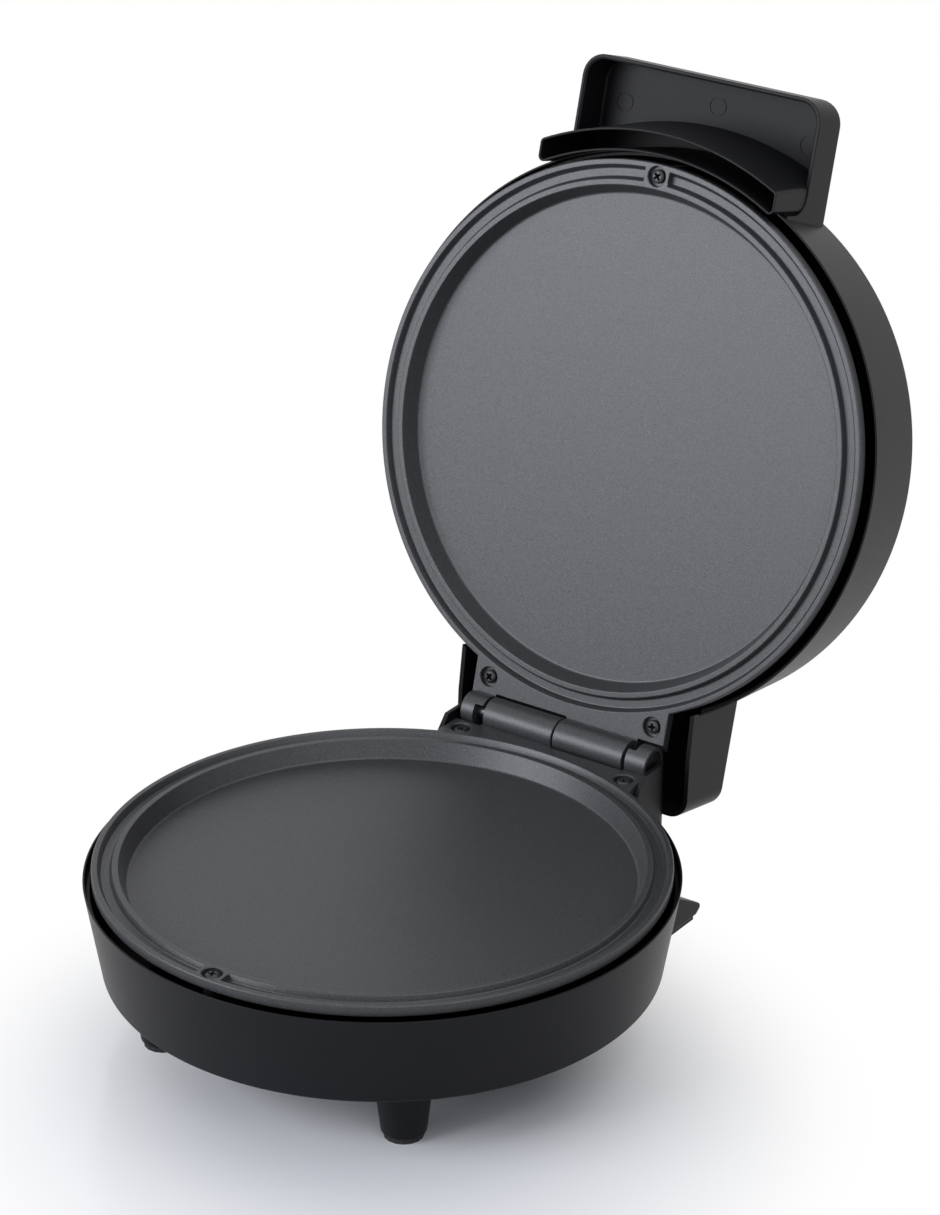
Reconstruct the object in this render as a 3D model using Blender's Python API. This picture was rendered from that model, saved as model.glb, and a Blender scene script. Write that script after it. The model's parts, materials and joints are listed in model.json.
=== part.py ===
"""Round pancake maker, standing with its lid open against its stop.

Metres, +Z up, +X to the user's right and -Y to the front. The origin is on the table under the
middle of the open appliance, halfway between the front of the base and the rear of the lid. Each half
is drawn about the centre of its own plate's face: the base in a frame at that height, and the lid in
a frame that hangs from the hinge axis. Both plates are the same casting, and the upper one is turned
over.
"""

import math

import bmesh
import bpy

# The whole appliance
PLATE_FACE_HEIGHT = 0.093  # lower plate's face above the table
PLATE_GAP = 0.006  # between the two faces with the lid shut
LID_OPEN_ANGLE = math.radians(105.31)
FIT_GAP = 0.0003  # between pieces that rest on each other
OVERRUN = 0.002  # how far a cutter runs past what it cuts
WELD_DISTANCE = 0.000001
SHARP_ANGLE = math.radians(35)
ROUND_STEPS = 60
HIDDEN_STEPS = 40
SMALL_STEPS = 16
HINGE_STEPS = 24
CORNER_STEPS = 4

# Plate casting, from the rim inwards
PLATE_RADIUS = 0.150
LAND_WIDTH = 0.0031
LAND_EDGE = 0.0008
CHANNEL_WIDTH = 0.0078
CHANNEL_DEPTH = 0.0035
RIDGE_WIDTH = 0.003
RECESS_WALL_RUN = 0.0041
RECESS_DEPTH = 0.010
FLANGE_THICKNESS = 0.006
COOK_THICKNESS = 0.004
FRONT_BOSS_WIDTH = 0.0147
STUD_RADIUS = 0.003
CHANNEL_OUTER_RADIUS = PLATE_RADIUS - LAND_WIDTH
CHANNEL_INNER_RADIUS = CHANNEL_OUTER_RADIUS - CHANNEL_WIDTH
RIDGE_INNER_RADIUS = CHANNEL_INNER_RADIUS - RIDGE_WIDTH
COOK_RADIUS = RIDGE_INNER_RADIUS - RECESS_WALL_RUN
PLATE_DEPTH = RECESS_DEPTH + COOK_THICKNESS

# Hinge: each plate has one long barrel and one ear, and a plain pin joins them
HINGE_OFFSET = 0.0147  # axis behind the plate's edge
KNUCKLE_RADIUS = 0.0095
KNUCKLE_CLEARANCE = 0.001  # round the other plate's knuckles
BARREL_LENGTH = 0.045
BARREL_SPACING = 0.0009  # between the two barrels
EAR_GAP = 0.0018
EAR_WIDTH = 0.0132
EAR_NOTCH_WIDTH = 0.005
EAR_NOTCH_AHEAD = 0.005  # of the hinge axis
EAR_RECESS_WALL = 0.002
EAR_RECESS_DEPTH = 0.003
TAB_MARGIN = 0.002  # tab beside the ear
PIN_RADIUS = 0.004
PIN_CLEARANCE = 0.0003
CLIP_WIDTH = 0.0025
CLIP_THICKNESS = 0.0012
PIN_END = 0.0006  # pin beyond its clip
HINGE_Y = PLATE_RADIUS + HINGE_OFFSET
HINGE_RISE = PLATE_GAP / 2  # axis above the lower plate's face
EAR_START = BARREL_LENGTH + EAR_GAP
EAR_END = EAR_START + EAR_WIDTH
TAB_HALF_WIDTH = EAR_END + TAB_MARGIN
BORE_RADIUS = PIN_RADIUS + PIN_CLEARANCE
CLIP_START = EAR_END - EAR_RECESS_DEPTH + FIT_GAP

# Plate screws
SCREW_HEAD_RADIUS = 0.004
SCREW_HEAD_HEIGHT = 0.0022
SCREW_SHANK_RADIUS = 0.0019
SCREW_LENGTH = 0.014
HEAD_CLEARANCE = 0.00145
SHANK_CLEARANCE = 0.0004
COUNTERBORE_DEPTH = 0.003
DRIVE_WIDTH = 0.0011
DRIVE_DEPTH = 0.0013
SCREW_BOSS_WALL = 0.0024
BOSS_CLEARANCE = 0.0008  # between the front boss and the plate's dish
REAR_SCREW_INSET = 0.009  # from the tab's side
REAR_SCREW_FORWARD = 0.0187  # ahead of the hinge axis
SCREW_BOSS_RADIUS = SCREW_SHANK_RADIUS + FIT_GAP + SCREW_BOSS_WALL
FRONT_SCREW_Y = -(CHANNEL_INNER_RADIUS + CHANNEL_OUTER_RADIUS) / 2
REAR_SCREW_X = TAB_HALF_WIDTH - REAR_SCREW_INSET
REAR_SCREW_Y = HINGE_Y - REAR_SCREW_FORWARD
SCREW_PLACES = {
    "front": (0, FRONT_SCREW_Y),
    "left": (-REAR_SCREW_X, REAR_SCREW_Y),
    "right": (REAR_SCREW_X, REAR_SCREW_Y),
}

# Both housings
WALL = 0.0025
LIP_CLEARANCE = 0.0036
LIP_THICKNESS = 0.001
LIP_DEPTH = 0.006
LIP_EDGE = 0.0004
LIP_RADIUS = PLATE_RADIUS + LIP_CLEARANCE
RIM_RADIUS = LIP_RADIUS + LIP_THICKNESS

# Base housing
BASE_RIM_SETBACK = 0.0065  # rim behind the lower plate's face
BASE_DEPTH = 0.057
BASE_TAPER = 0.0086
BASE_EDGE = 0.002
NECK_SIDE_CLEARANCE = 0.001
NECK_DEPTH = 0.050
NECK_CORNER = 0.011
CHEEK_RISE = 0.0045
RAMP_RUN = 0.010
SLOT_CLEARANCE = 0.0004
NECK_REAR_DROP = 0.008
STOP_CLEARANCE = 0.0004
NECK_INNER_HALF_WIDTH = TAB_HALF_WIDTH + NECK_SIDE_CLEARANCE
NECK_HALF_WIDTH = NECK_INNER_HALF_WIDTH + WALL

# Lid housing
LID_RIM_SETBACK = 0.0095  # rim behind the upper plate's face
LID_DEPTH = 0.0622
LID_TAPER = 0.0061
LID_EDGE = 0.003
REAR_BOX_CLEARANCE = 0.0075  # beside the neck
REAR_BOX_REACH = 0.0298  # rim behind the hinge axis
REAR_BOX_TAPER = 0.003
REAR_BOX_DEPTH = 0.0505
REAR_BOX_CORNER = 0.011
REAR_BOX_EDGE = 0.002
REAR_RIM_HEIGHT = 0.014
REAR_RIM_SHARES = ((-1.9, 0.18), (-1.064, 0.286), (-0.158, 0.529), (0.614, 0.893), (0.93, 0.98), (1.5, 1.04))
REAR_BOX_HALF_WIDTH = NECK_HALF_WIDTH + REAR_BOX_CLEARANCE + WALL

# Handle tray and the guard between it and the hot plate
HANDLE_PROJECTION = 0.047  # beyond the plate's edge
HANDLE_HALF_WIDTH = 0.0744
HANDLE_CORNER = 0.013
HANDLE_RIM = 0.031
HANDLE_TOP = 0.055
HANDLE_EDGE = 0.0015
GUARD_INSET = LIP_THICKNESS / 2
GUARD_THICKNESS = 0.0122
GUARD_WALL = 0.0013
GUARD_DROP = 0.0016  # ahead of the plate's face
GUARD_TAPER = 0.003
GUARD_CORNER = 0.003
GUARD_SIDE_INSET = 0.0006  # inside the handle's cheeks
WEB_BEHIND_RIM = 0.002  # web and cheeks behind the lid's rim
HANDLE_CHEEK_CORNER = 0.010
WEB_SETBACK = LID_RIM_SETBACK + WEB_BEHIND_RIM
HANDLE_FRONT = PLATE_RADIUS + HANDLE_PROJECTION
GUARD_HALF_WIDTH = HANDLE_HALF_WIDTH - GUARD_SIDE_INSET
GUARD_RADIUS = RIM_RADIUS - GUARD_INSET

# Feet
FRONT_FOOT_X = 0.0765
FRONT_FOOT_Y = -0.0885
FOOT_ROOT_RADIUS = 0.0155
FOOT_END_RADIUS = 0.0113
FRONT_PAD_THICKNESS = 0.003
PAD_INSET = 0.001
REAR_LEG_OUTER_X = 0.079
REAR_LEG_WIDTH = 0.022
REAR_LEG_BEHIND_HINGE = 0.0233
REAR_LEG_RISE = 0.005  # top of the leg's root above the housing's underside
REAR_TOE_TURN = 0.006  # sole's end ahead of the toe's tip
REAR_SOLE_LENGTH = 0.032
REAR_PAD_THICKNESS = 0.002
REAR_TOE_SHARES = ((0.992, 0.105), (1.0, 0.18), (0.989, 0.264), (0.963, 0.292), (0.894, 0.5))
REAR_LEG_ROOT_SHARES = (0.532, 0.681)
REAR_LEG_REACH = HINGE_Y + REAR_LEG_BEHIND_HINGE
REAR_LEG_TOE = REAR_LEG_REACH - REAR_TOE_TURN
REAR_LEG_HEEL = REAR_LEG_TOE - REAR_SOLE_LENGTH
STANDING_HEIGHT = PLATE_FACE_HEIGHT - BASE_DEPTH

# Heating element, heat shield and its nut, under each plate
ELEMENT_LOOP_INSET = 0.037  # centre line inside the recess's edge
ELEMENT_TUBE_RADIUS = 0.0033
ELEMENT_END_X = 0.014
ELEMENT_END_INSET = 0.004
ELEMENT_BEND = 0.012
ELEMENT_LOOP_POINTS = 32
TERMINAL_RADIUS = 0.0012
TERMINAL_LENGTH = 0.006
SHIELD_INSET = 0.020  # dish inside the recess's edge
SHIELD_SHEET = 0.0008
SHIELD_WALL_RUN = 0.004
SHIELD_FLANGE = 0.006
SHIELD_NOTCH_CLEARANCE = 0.002
NUT_WIDTH = 0.010
NUT_HEIGHT = 0.003
STUD_END = 0.001  # stud beyond its nut
ELEMENT_LOOP_RADIUS = COOK_RADIUS - ELEMENT_LOOP_INSET
ELEMENT_END_Y = COOK_RADIUS - ELEMENT_END_INSET
SHIELD_RADIUS = COOK_RADIUS - SHIELD_INSET

# Controls and wiring inside the base
THERMOSTAT_FORWARD = 0.045
THERMOSTAT_RADIUS = 0.007
THERMOSTAT_DROP = 0.0045  # body below the shield
STRAP_LENGTH = 0.030
STRAP_WIDTH = 0.007
STRAP_THICKNESS = 0.0008
BLADE_LENGTH = 0.008
BLADE_WIDTH = 0.004
BLADE_THICKNESS = 0.0008
BLADE_SPACING = 0.007
FUSE_X = 0.030
FUSE_Y = 0.045
FUSE_RADIUS = 0.002
FUSE_LENGTH = 0.011
FUSE_WIRE_RADIUS = 0.0005
FUSE_WIRE_LENGTH = 0.010
BLOCK_SIZE = (0.030, 0.016, 0.014)
BLOCK_FORWARD = 0.0147  # centre ahead of the hinge axis
BLOCK_HOLE_RADIUS = 0.002
BLOCK_HOLE_PITCH = 0.009
BLOCK_EDGE = 0.001
BLOCK_SCREW_RADIUS = 0.0028

# Cord gland in the neck's rear wall
GLAND_RISE = 0.011  # centre above the neck's underside
GLAND_NECK_RADIUS = 0.0053
GLAND_FLANGE_RADIUS = 0.0068
GLAND_FLANGE_THICKNESS = 0.0022
GLAND_BORE_RADIUS = 0.0034

# Lamps on the lid
LAMP_X = 0.014
LAMP_Y = -0.095
LENS_RADIUS = 0.0055
LENS_HEIGHT = 0.0022
LENS_STEM_RADIUS = 0.004
LENS_STEM_LENGTH = 0.009
LENS_WALL = 0.001
BULB_LENGTH = 0.009

BLACK_PLASTIC = ("black_plastic", (0.028, 0.028, 0.030), 0.45, 0.0)
PLATE_COATING = ("plate_coating", (0.045, 0.046, 0.048), 0.55, 0.3)
BLACK_STEEL = ("black_steel", (0.03, 0.03, 0.032), 0.35, 0.8)
PIN_STEEL = ("pin_steel", (0.45, 0.45, 0.46), 0.35, 1.0)
SHIELD_STEEL = ("shield_steel", (0.62, 0.62, 0.62), 0.4, 1.0)
ELEMENT_STEEL = ("element_steel", (0.34, 0.31, 0.28), 0.5, 0.9)
RUBBER = ("black_rubber", (0.018, 0.018, 0.018), 0.85, 0.0)
CERAMIC = ("white_ceramic", (0.80, 0.78, 0.74), 0.5, 0.0)
RED_LENS = ("red_lens", (0.75, 0.05, 0.03), 0.15, 0.0)
GREEN_LENS = ("green_lens", (0.05, 0.55, 0.12), 0.15, 0.0)
BULB_GLASS = ("bulb_glass", (0.85, 0.75, 0.65), 0.1, 0.0)


def clear_scene():
    """Removes every object, so that the model starts from an empty scene."""
    for obj in list(bpy.data.objects):
        bpy.data.objects.remove(obj, do_unlink=True)


def material_for(finish):
    """The Principled material of this finish, made once."""
    name, colour, roughness, metallic = finish
    material = bpy.data.materials.get(name)
    if material is None:
        material = bpy.data.materials.new(name)
        material.use_nodes = True
        shader = material.node_tree.nodes["Principled BSDF"]
        shader.inputs["Base Color"].default_value = (*colour, 1.0)
        shader.inputs["Roughness"].default_value = roughness
        shader.inputs["Metallic"].default_value = metallic
        material.diffuse_color = (*colour, 1.0)
    return material


def frame(name, parent=None, location=(0, 0, 0), rotation=(0, 0, 0)):
    """An empty that carries the pieces of one half."""
    empty = bpy.data.objects.new(name, None)
    empty.empty_display_size = PLATE_RADIUS
    bpy.context.scene.collection.objects.link(empty)
    empty.parent = parent
    empty.location = location
    empty.rotation_euler = rotation
    return empty


def placed(name, data, parent=None, location=(0, 0, 0), rotation=(0, 0, 0)):
    """An object of this mesh or curve, at a place in its parent's frame."""
    obj = bpy.data.objects.new(name, data)
    bpy.context.scene.collection.objects.link(obj)
    obj.parent = parent
    obj.location = location
    obj.rotation_euler = rotation
    return obj


def mesh_from(name, bm):
    """Turns a bmesh into a mesh whose faces point out."""
    bmesh.ops.remove_doubles(bm, verts=bm.verts, dist=WELD_DISTANCE)
    bmesh.ops.recalc_face_normals(bm, faces=bm.faces)
    mesh = bpy.data.meshes.new(name)
    bm.to_mesh(mesh)
    bm.free()
    return mesh


def turned(name, profile, steps=ROUND_STEPS):
    """A mesh turned about Z from (radius, height) points, closed on the axis or round a ring."""
    bm = bmesh.new()
    points = [bm.verts.new((radius, 0, height)) for radius, height in profile]
    edges = [bm.edges.new(pair) for pair in zip(points, points[1:])]
    if profile[0][0] > 0:
        edges.append(bm.edges.new((points[-1], points[0])))
    bmesh.ops.spin(bm, geom=points + edges, cent=(0, 0, 0), axis=(0, 0, 1), angle=math.tau,
                   steps=steps, use_merge=True)
    return mesh_from(name, bm)


def lofted(name, rings):
    """A mesh through rings of points, each ring the same count, with flat ends."""
    bm = bmesh.new()
    loops = [[bm.verts.new(point) for point in ring] for ring in rings]
    count = len(loops[0])
    for lower, upper in zip(loops, loops[1:]):
        for i in range(count):
            j = (i + 1) % count
            bm.faces.new((lower[i], lower[j], upper[j], upper[i]))
    bm.faces.new(reversed(loops[0]))
    bm.faces.new(loops[-1])
    return mesh_from(name, bm)


def prism(name, outline, low, high, along="z"):
    """A mesh of an outline pushed along an axis. Along x, the outline's points are (y, z)."""
    if along == "x":
        return lofted(name, [[(w, u, v) for u, v in outline] for w in (low, high)])
    if along == "y":
        return lofted(name, [[(u, w, v) for u, v in outline] for w in (low, high)])
    return lofted(name, [[(u, v, w) for u, v in outline] for w in (low, high)])


def box(name, low, high):
    """A mesh of the box between two corners."""
    outline = ((low[0], low[1]), (high[0], low[1]), (high[0], high[1]), (low[0], high[1]))
    return prism(name, outline, low[2], high[2])


def rod(name, radius, low, high, along="z", centre=(0, 0), steps=SMALL_STEPS):
    """A mesh of a round rod along an axis, centred on a point of the plane across it."""
    return prism(name, circle(centre, radius, steps), low, high, along)


def arc(centre, radius, start, end, steps):
    """Points on an arc from one angle to another."""
    angles = (start + (end - start) * i / steps for i in range(steps + 1))
    return [(centre[0] + radius * math.cos(a), centre[1] + radius * math.sin(a)) for a in angles]


def rounded(corners, steps=CORNER_STEPS):
    """Outline of a polygon whose corners are (u, v, radius), each arc tangent to both its sides."""
    points = []
    for i, (u, v, radius) in enumerate(corners):
        if radius <= 0:
            points.append((u, v))
            continue
        before, after = corners[i - 1], corners[(i + 1) % len(corners)]
        back = math.atan2(before[1] - v, before[0] - u)
        ahead = math.atan2(after[1] - v, after[0] - u)
        opening = (ahead - back + math.pi) % math.tau - math.pi
        middle = back + opening / 2
        reach = radius / math.sin(abs(opening) / 2)
        centre = (u + reach * math.cos(middle), v + reach * math.sin(middle))
        start = back - math.copysign(math.pi / 2, opening)
        sweep = math.copysign(math.pi, opening) - opening
        points += arc(centre, radius, start, start - sweep, steps)
    return points


def combined(obj, *stages):
    """Joins tool meshes to an object or cuts them from it, in order, and settles the result."""
    tools = []
    for operation, mesh in stages:
        tool = placed(mesh.name, mesh, obj.parent, obj.location, obj.rotation_euler)
        tool.hide_render = True
        tool.display_type = "WIRE"
        modifier = obj.modifiers.new(mesh.name, "BOOLEAN")
        modifier.operation = operation
        modifier.solver = "EXACT"
        modifier.object = tool
        tools.append(tool)
    bpy.context.view_layer.update()
    graph = bpy.context.evaluated_depsgraph_get()
    settled = bpy.data.meshes.new_from_object(obj.evaluated_get(graph), depsgraph=graph)
    obj.modifiers.clear()
    obj.data = settled
    for tool in tools:
        bpy.data.objects.remove(tool, do_unlink=True)
    return obj


def join(mesh):
    return "UNION", mesh


def cut(mesh):
    return "DIFFERENCE", mesh


def finished(obj, finish):
    """Gives a solid its material and its shading: smooth, with sharp edges by angle."""
    obj.data.materials.clear()
    obj.data.materials.append(material_for(finish))
    if obj.type == "MESH":
        obj.data.shade_smooth()
        obj.data.set_sharp_from_angle(angle=SHARP_ANGLE)
    return obj


def opened(behind, above):
    """Where the open lid puts a point that lies this far behind and above the hinge axis when shut."""
    cosine, sine = math.cos(LID_OPEN_ANGLE), math.sin(LID_OPEN_ANGLE)
    return behind * cosine + above * sine, above * cosine - behind * sine


def tapered_radius(setback, taper, depth, distance):
    """Outer radius of a housing at a distance behind its plate's face."""
    return RIM_RADIUS - taper * (distance - setback) / (depth - setback)


def shell_outside(setback, depth, taper, edge):
    """Profile of a round housing's outside, rim first, at distances behind its plate's face."""
    end = RIM_RADIUS - taper
    corner = arc((end - edge, depth - edge), edge, 0, math.pi / 2, CORNER_STEPS)
    return [
        (0, setback),
        (RIM_RADIUS - LIP_EDGE, setback),
        (RIM_RADIUS, setback + LIP_EDGE),
        *corner,
        (0, depth),
    ]


def shell_inside(setback, depth, taper, clear):
    """Profile of a round housing's inside, from a distance clear of everything in front of its rim."""
    step = setback + LIP_DEPTH
    floor = depth - WALL
    step_radius = tapered_radius(setback, taper, depth, step)
    floor_radius = tapered_radius(setback, taper, depth, floor)
    return [
        (0, -clear),
        (LIP_RADIUS, -clear),
        (LIP_RADIUS, setback),
        (step_radius - LIP_THICKNESS, step),
        (step_radius - WALL, step),
        (floor_radius - WALL, floor),
        (0, floor),
    ]


def heights(profile, sign):
    """A profile of distances behind a face as heights: sign 1 for the lid, -1 for the base."""
    return [(radius, sign * distance) for radius, distance in profile]


def screw_bosses(sign, floors):
    """Meshes of the three bosses that carry a plate, and of the bores in them."""
    top = FLANGE_THICKNESS + FIT_GAP
    bosses, bores = [], []
    for (side, place), floor in zip(SCREW_PLACES.items(), floors):
        span = sorted((sign * top, sign * floor))
        bosses.append(rod(f"boss_{side}", SCREW_BOSS_RADIUS, *span, centre=place))
        span = sorted((sign * (top - OVERRUN), sign * (top + SCREW_LENGTH)))
        radius = SCREW_SHANK_RADIUS + FIT_GAP
        bores.append(rod(f"boss_bore_{side}", radius, *span, centre=place))
    return bosses, bores


def hollow_round(mesh, bosses):
    """A hollow that leaves the bosses standing, so that none reaches through the outer wall."""
    hollow = placed(mesh.name, mesh)
    combined(hollow, *map(cut, bosses))
    mesh = hollow.data
    bpy.data.objects.remove(hollow, do_unlink=True)
    return mesh


LID_REAR = HINGE_Y + max(
    opened(-HINGE_Y - forward, above + PLATE_GAP - HINGE_RISE)[0]
    for forward, above in (
        (HANDLE_FRONT - HANDLE_EDGE, HANDLE_TOP),
        (RIM_RADIUS - LID_TAPER - LID_EDGE, LID_DEPTH),
    )
)
PLATE_CENTRE_Y = (RIM_RADIUS - LID_REAR) / 2
NECK_REAR = HINGE_Y + opened(REAR_BOX_REACH, REAR_RIM_HEIGHT + HINGE_RISE)[0] - STOP_CLEARANCE
NECK_ROOT = math.sqrt((RIM_RADIUS - BASE_TAPER) ** 2 - NECK_HALF_WIDTH**2) - 2 * WALL
GLAND_HEIGHT = GLAND_RISE - NECK_DEPTH


def neck_outline(half_width, rear, corner):
    """Plan of the neck or of its inside."""
    return rounded(
        (
            (-half_width, NECK_ROOT, 0),
            (half_width, NECK_ROOT, 0),
            (half_width, rear, corner),
            (-half_width, rear, corner),
        )
    )


def neck_outside():
    """The neck behind the round housing: a box whose cheeks ramp up beside the hinge."""
    outline = neck_outline(NECK_HALF_WIDTH, NECK_REAR, NECK_CORNER)
    neck = placed("neck", prism("neck", outline, -NECK_DEPTH, CHEEK_RISE))
    rim_y = math.sqrt(RIM_RADIUS**2 - NECK_HALF_WIDTH**2) - LIP_THICKNESS
    slope = (CHEEK_RISE + BASE_RIM_SETBACK) / RAMP_RUN
    low = BASE_RIM_SETBACK + OVERRUN
    side = (
        (0, -low),
        (rim_y - OVERRUN / slope, -low),
        (rim_y + RAMP_RUN, CHEEK_RISE),
        (rim_y + RAMP_RUN, CHEEK_RISE + OVERRUN),
        (0, CHEEK_RISE + OVERRUN),
    )
    reach = NECK_HALF_WIDTH + OVERRUN
    combined(neck, cut(prism("ramp", side, -reach, reach, "x")))
    mesh = neck.data
    bpy.data.objects.remove(neck, do_unlink=True)
    return mesh


def rear_leg(side):
    """Mesh of one splayed rear leg, its side view pushed across its width."""
    seat = REAR_PAD_THICKNESS + FIT_GAP - PLATE_FACE_HEIGHT
    root_front, root_back = (share * REAR_LEG_REACH for share in REAR_LEG_ROOT_SHARES)
    toe = [
        (along * REAR_LEG_REACH, max(up * STANDING_HEIGHT - PLATE_FACE_HEIGHT, seat))
        for along, up in REAR_TOE_SHARES
    ]
    outline = [
        (root_front, WALL / 2 - BASE_DEPTH),
        (REAR_LEG_HEEL, seat),
        (REAR_LEG_TOE, seat),
        *toe,
        (root_back, REAR_LEG_RISE - BASE_DEPTH),
    ]
    span = sorted((side * REAR_LEG_OUTER_X, side * (REAR_LEG_OUTER_X - REAR_LEG_WIDTH)))
    return prism(f"rear_leg_{side}", outline, *span, "x")


def front_foot_stages(side):
    """One tapered front foot, hollow and open to the inside of the housing."""
    seat = FRONT_PAD_THICKNESS + FIT_GAP
    place = (side * FRONT_FOOT_X, FRONT_FOOT_Y)
    widening = (FOOT_ROOT_RADIUS - FOOT_END_RADIUS) / STANDING_HEIGHT
    rings = []
    hollow = []
    for height in (seat, STANDING_HEIGHT + WALL / 2):
        radius = FOOT_END_RADIUS + widening * height
        rings.append([(*p, height - PLATE_FACE_HEIGHT) for p in circle(place, radius)])
    for height in (seat + WALL, STANDING_HEIGHT + WALL + OVERRUN):
        radius = FOOT_END_RADIUS + widening * height - WALL
        hollow.append([(*p, height - PLATE_FACE_HEIGHT) for p in circle(place, radius)])
    return join(lofted(f"foot_{side}", rings)), cut(lofted(f"foot_inside_{side}", hollow))


def circle(centre, radius, steps=SMALL_STEPS):
    """Points round a full circle, with a flat side rather than a point towards each axis."""
    start = math.pi / steps
    return arc(centre, radius, start, start + math.tau * (steps - 1) / steps, steps - 1)


def base_housing(base):
    """The bucket under the lower plate, with its neck, feet, bosses and the hole for the gland."""
    outside = heights(shell_outside(BASE_RIM_SETBACK, BASE_DEPTH, BASE_TAPER, BASE_EDGE), -1)
    inside = heights(shell_inside(BASE_RIM_SETBACK, BASE_DEPTH, BASE_TAPER, CHEEK_RISE + OVERRUN), -1)
    feet = [front_foot_stages(side) for side in (-1, 1)]
    inner_rear = NECK_REAR - WALL
    neck_hollow = prism(
        "neck_hollow",
        neck_outline(NECK_INNER_HALF_WIDTH, inner_rear, NECK_CORNER - WALL),
        WALL - NECK_DEPTH,
        CHEEK_RISE + OVERRUN,
    )
    slot_half_width = TAB_HALF_WIDTH + SLOT_CLEARANCE
    slot = box(
        "slot",
        (-slot_half_width, NECK_REAR - NECK_CORNER, -NECK_REAR_DROP),
        (slot_half_width, NECK_REAR + OVERRUN, CHEEK_RISE + OVERRUN),
    )
    gland_hole = rod(
        "gland_hole", GLAND_NECK_RADIUS + FIT_GAP, inner_rear - OVERRUN, NECK_REAR + OVERRUN, "y",
        (0, GLAND_HEIGHT),
    )
    body_floor = BASE_DEPTH - WALL / 2
    neck_floor = NECK_DEPTH - WALL / 2
    bosses, bores = screw_bosses(-1, (body_floor, neck_floor, neck_floor))
    housing = placed("base_housing", turned("base_outside", outside), base)
    combined(
        housing,
        join(neck_outside()),
        *(join(rear_leg(side)) for side in (-1, 1)),
        *(foot[0] for foot in feet),
        cut(hollow_round(turned("base_inside", inside), bosses)),
        cut(hollow_round(neck_hollow, bosses)),
        cut(slot),
        cut(gland_hole),
        *(foot[1] for foot in feet),
        *map(cut, bores),
    )
    return finished(housing, BLACK_PLASTIC)


def plate_profile():
    """Half section of the casting: cooking recess, sloped wall, ridge, channel, land and flange."""
    return [
        (0, -RECESS_DEPTH),
        (COOK_RADIUS, -RECESS_DEPTH),
        (RIDGE_INNER_RADIUS, 0),
        (CHANNEL_INNER_RADIUS, 0),
        (CHANNEL_INNER_RADIUS, -CHANNEL_DEPTH),
        (CHANNEL_OUTER_RADIUS, -CHANNEL_DEPTH),
        (CHANNEL_OUTER_RADIUS, 0),
        (PLATE_RADIUS - LAND_EDGE, 0),
        (PLATE_RADIUS, -LAND_EDGE),
        (PLATE_RADIUS, -FLANGE_THICKNESS),
        (-FRONT_SCREW_Y - SCREW_BOSS_RADIUS - BOSS_CLEARANCE, -FLANGE_THICKNESS),
        (COOK_RADIUS + COOK_THICKNESS, -PLATE_DEPTH),
        (0, -PLATE_DEPTH),
    ]


def tab_outline():
    """Plan of the tab between the plate's land and the hinge axis."""
    radius = PLATE_RADIUS - LAND_WIDTH / 2
    half_angle = math.asin(TAB_HALF_WIDTH / radius)
    front = arc((0, 0), radius, math.pi / 2 - half_angle, math.pi / 2 + half_angle, 2 * CORNER_STEPS)
    return [(TAB_HALF_WIDTH, HINGE_Y), *front, (-TAB_HALF_WIDTH, HINGE_Y)]


def hinge_rod(name, radius, low, high):
    """A rod on the hinge axis, in a plate's own frame."""
    return rod(name, radius, low, high, "x", (HINGE_Y, HINGE_RISE), HINGE_STEPS)


def hinge_tab():
    """The casting's rear tab, cleared for the other plate's knuckles and with its own barrel and ear."""
    half_spacing = BARREL_SPACING / 2
    outer = TAB_HALF_WIDTH + OVERRUN
    clearing = KNUCKLE_RADIUS + KNUCKLE_CLEARANCE
    tab = placed("tab", prism("tab", tab_outline(), -FLANGE_THICKNESS, 0))
    notch = box(
        "notch",
        (EAR_START - OVERRUN, HINGE_Y - EAR_NOTCH_AHEAD, HINGE_RISE - clearing),
        (EAR_START + EAR_NOTCH_WIDTH, HINGE_Y + clearing, HINGE_RISE + clearing),
    )
    ear = placed("ear", hinge_rod("ear", KNUCKLE_RADIUS, EAR_START, EAR_END))
    combined(ear, cut(notch))
    recess_radius = KNUCKLE_RADIUS - EAR_RECESS_WALL
    combined(
        tab,
        cut(hinge_rod("clear_barrel", clearing, 0, EAR_START - half_spacing)),
        cut(hinge_rod("clear_ear", clearing, -outer, -BARREL_LENGTH - EAR_GAP / 2)),
        join(hinge_rod("barrel", KNUCKLE_RADIUS, -BARREL_LENGTH, -half_spacing)),
        join(ear.data),
        cut(hinge_rod("ear_recess", recess_radius, EAR_END - EAR_RECESS_DEPTH, outer)),
        cut(hinge_rod("pin_bore", BORE_RADIUS, -outer, outer)),
    )
    mesh = tab.data
    bpy.data.objects.remove(tab, do_unlink=True)
    bpy.data.objects.remove(ear, do_unlink=True)
    return mesh


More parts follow.
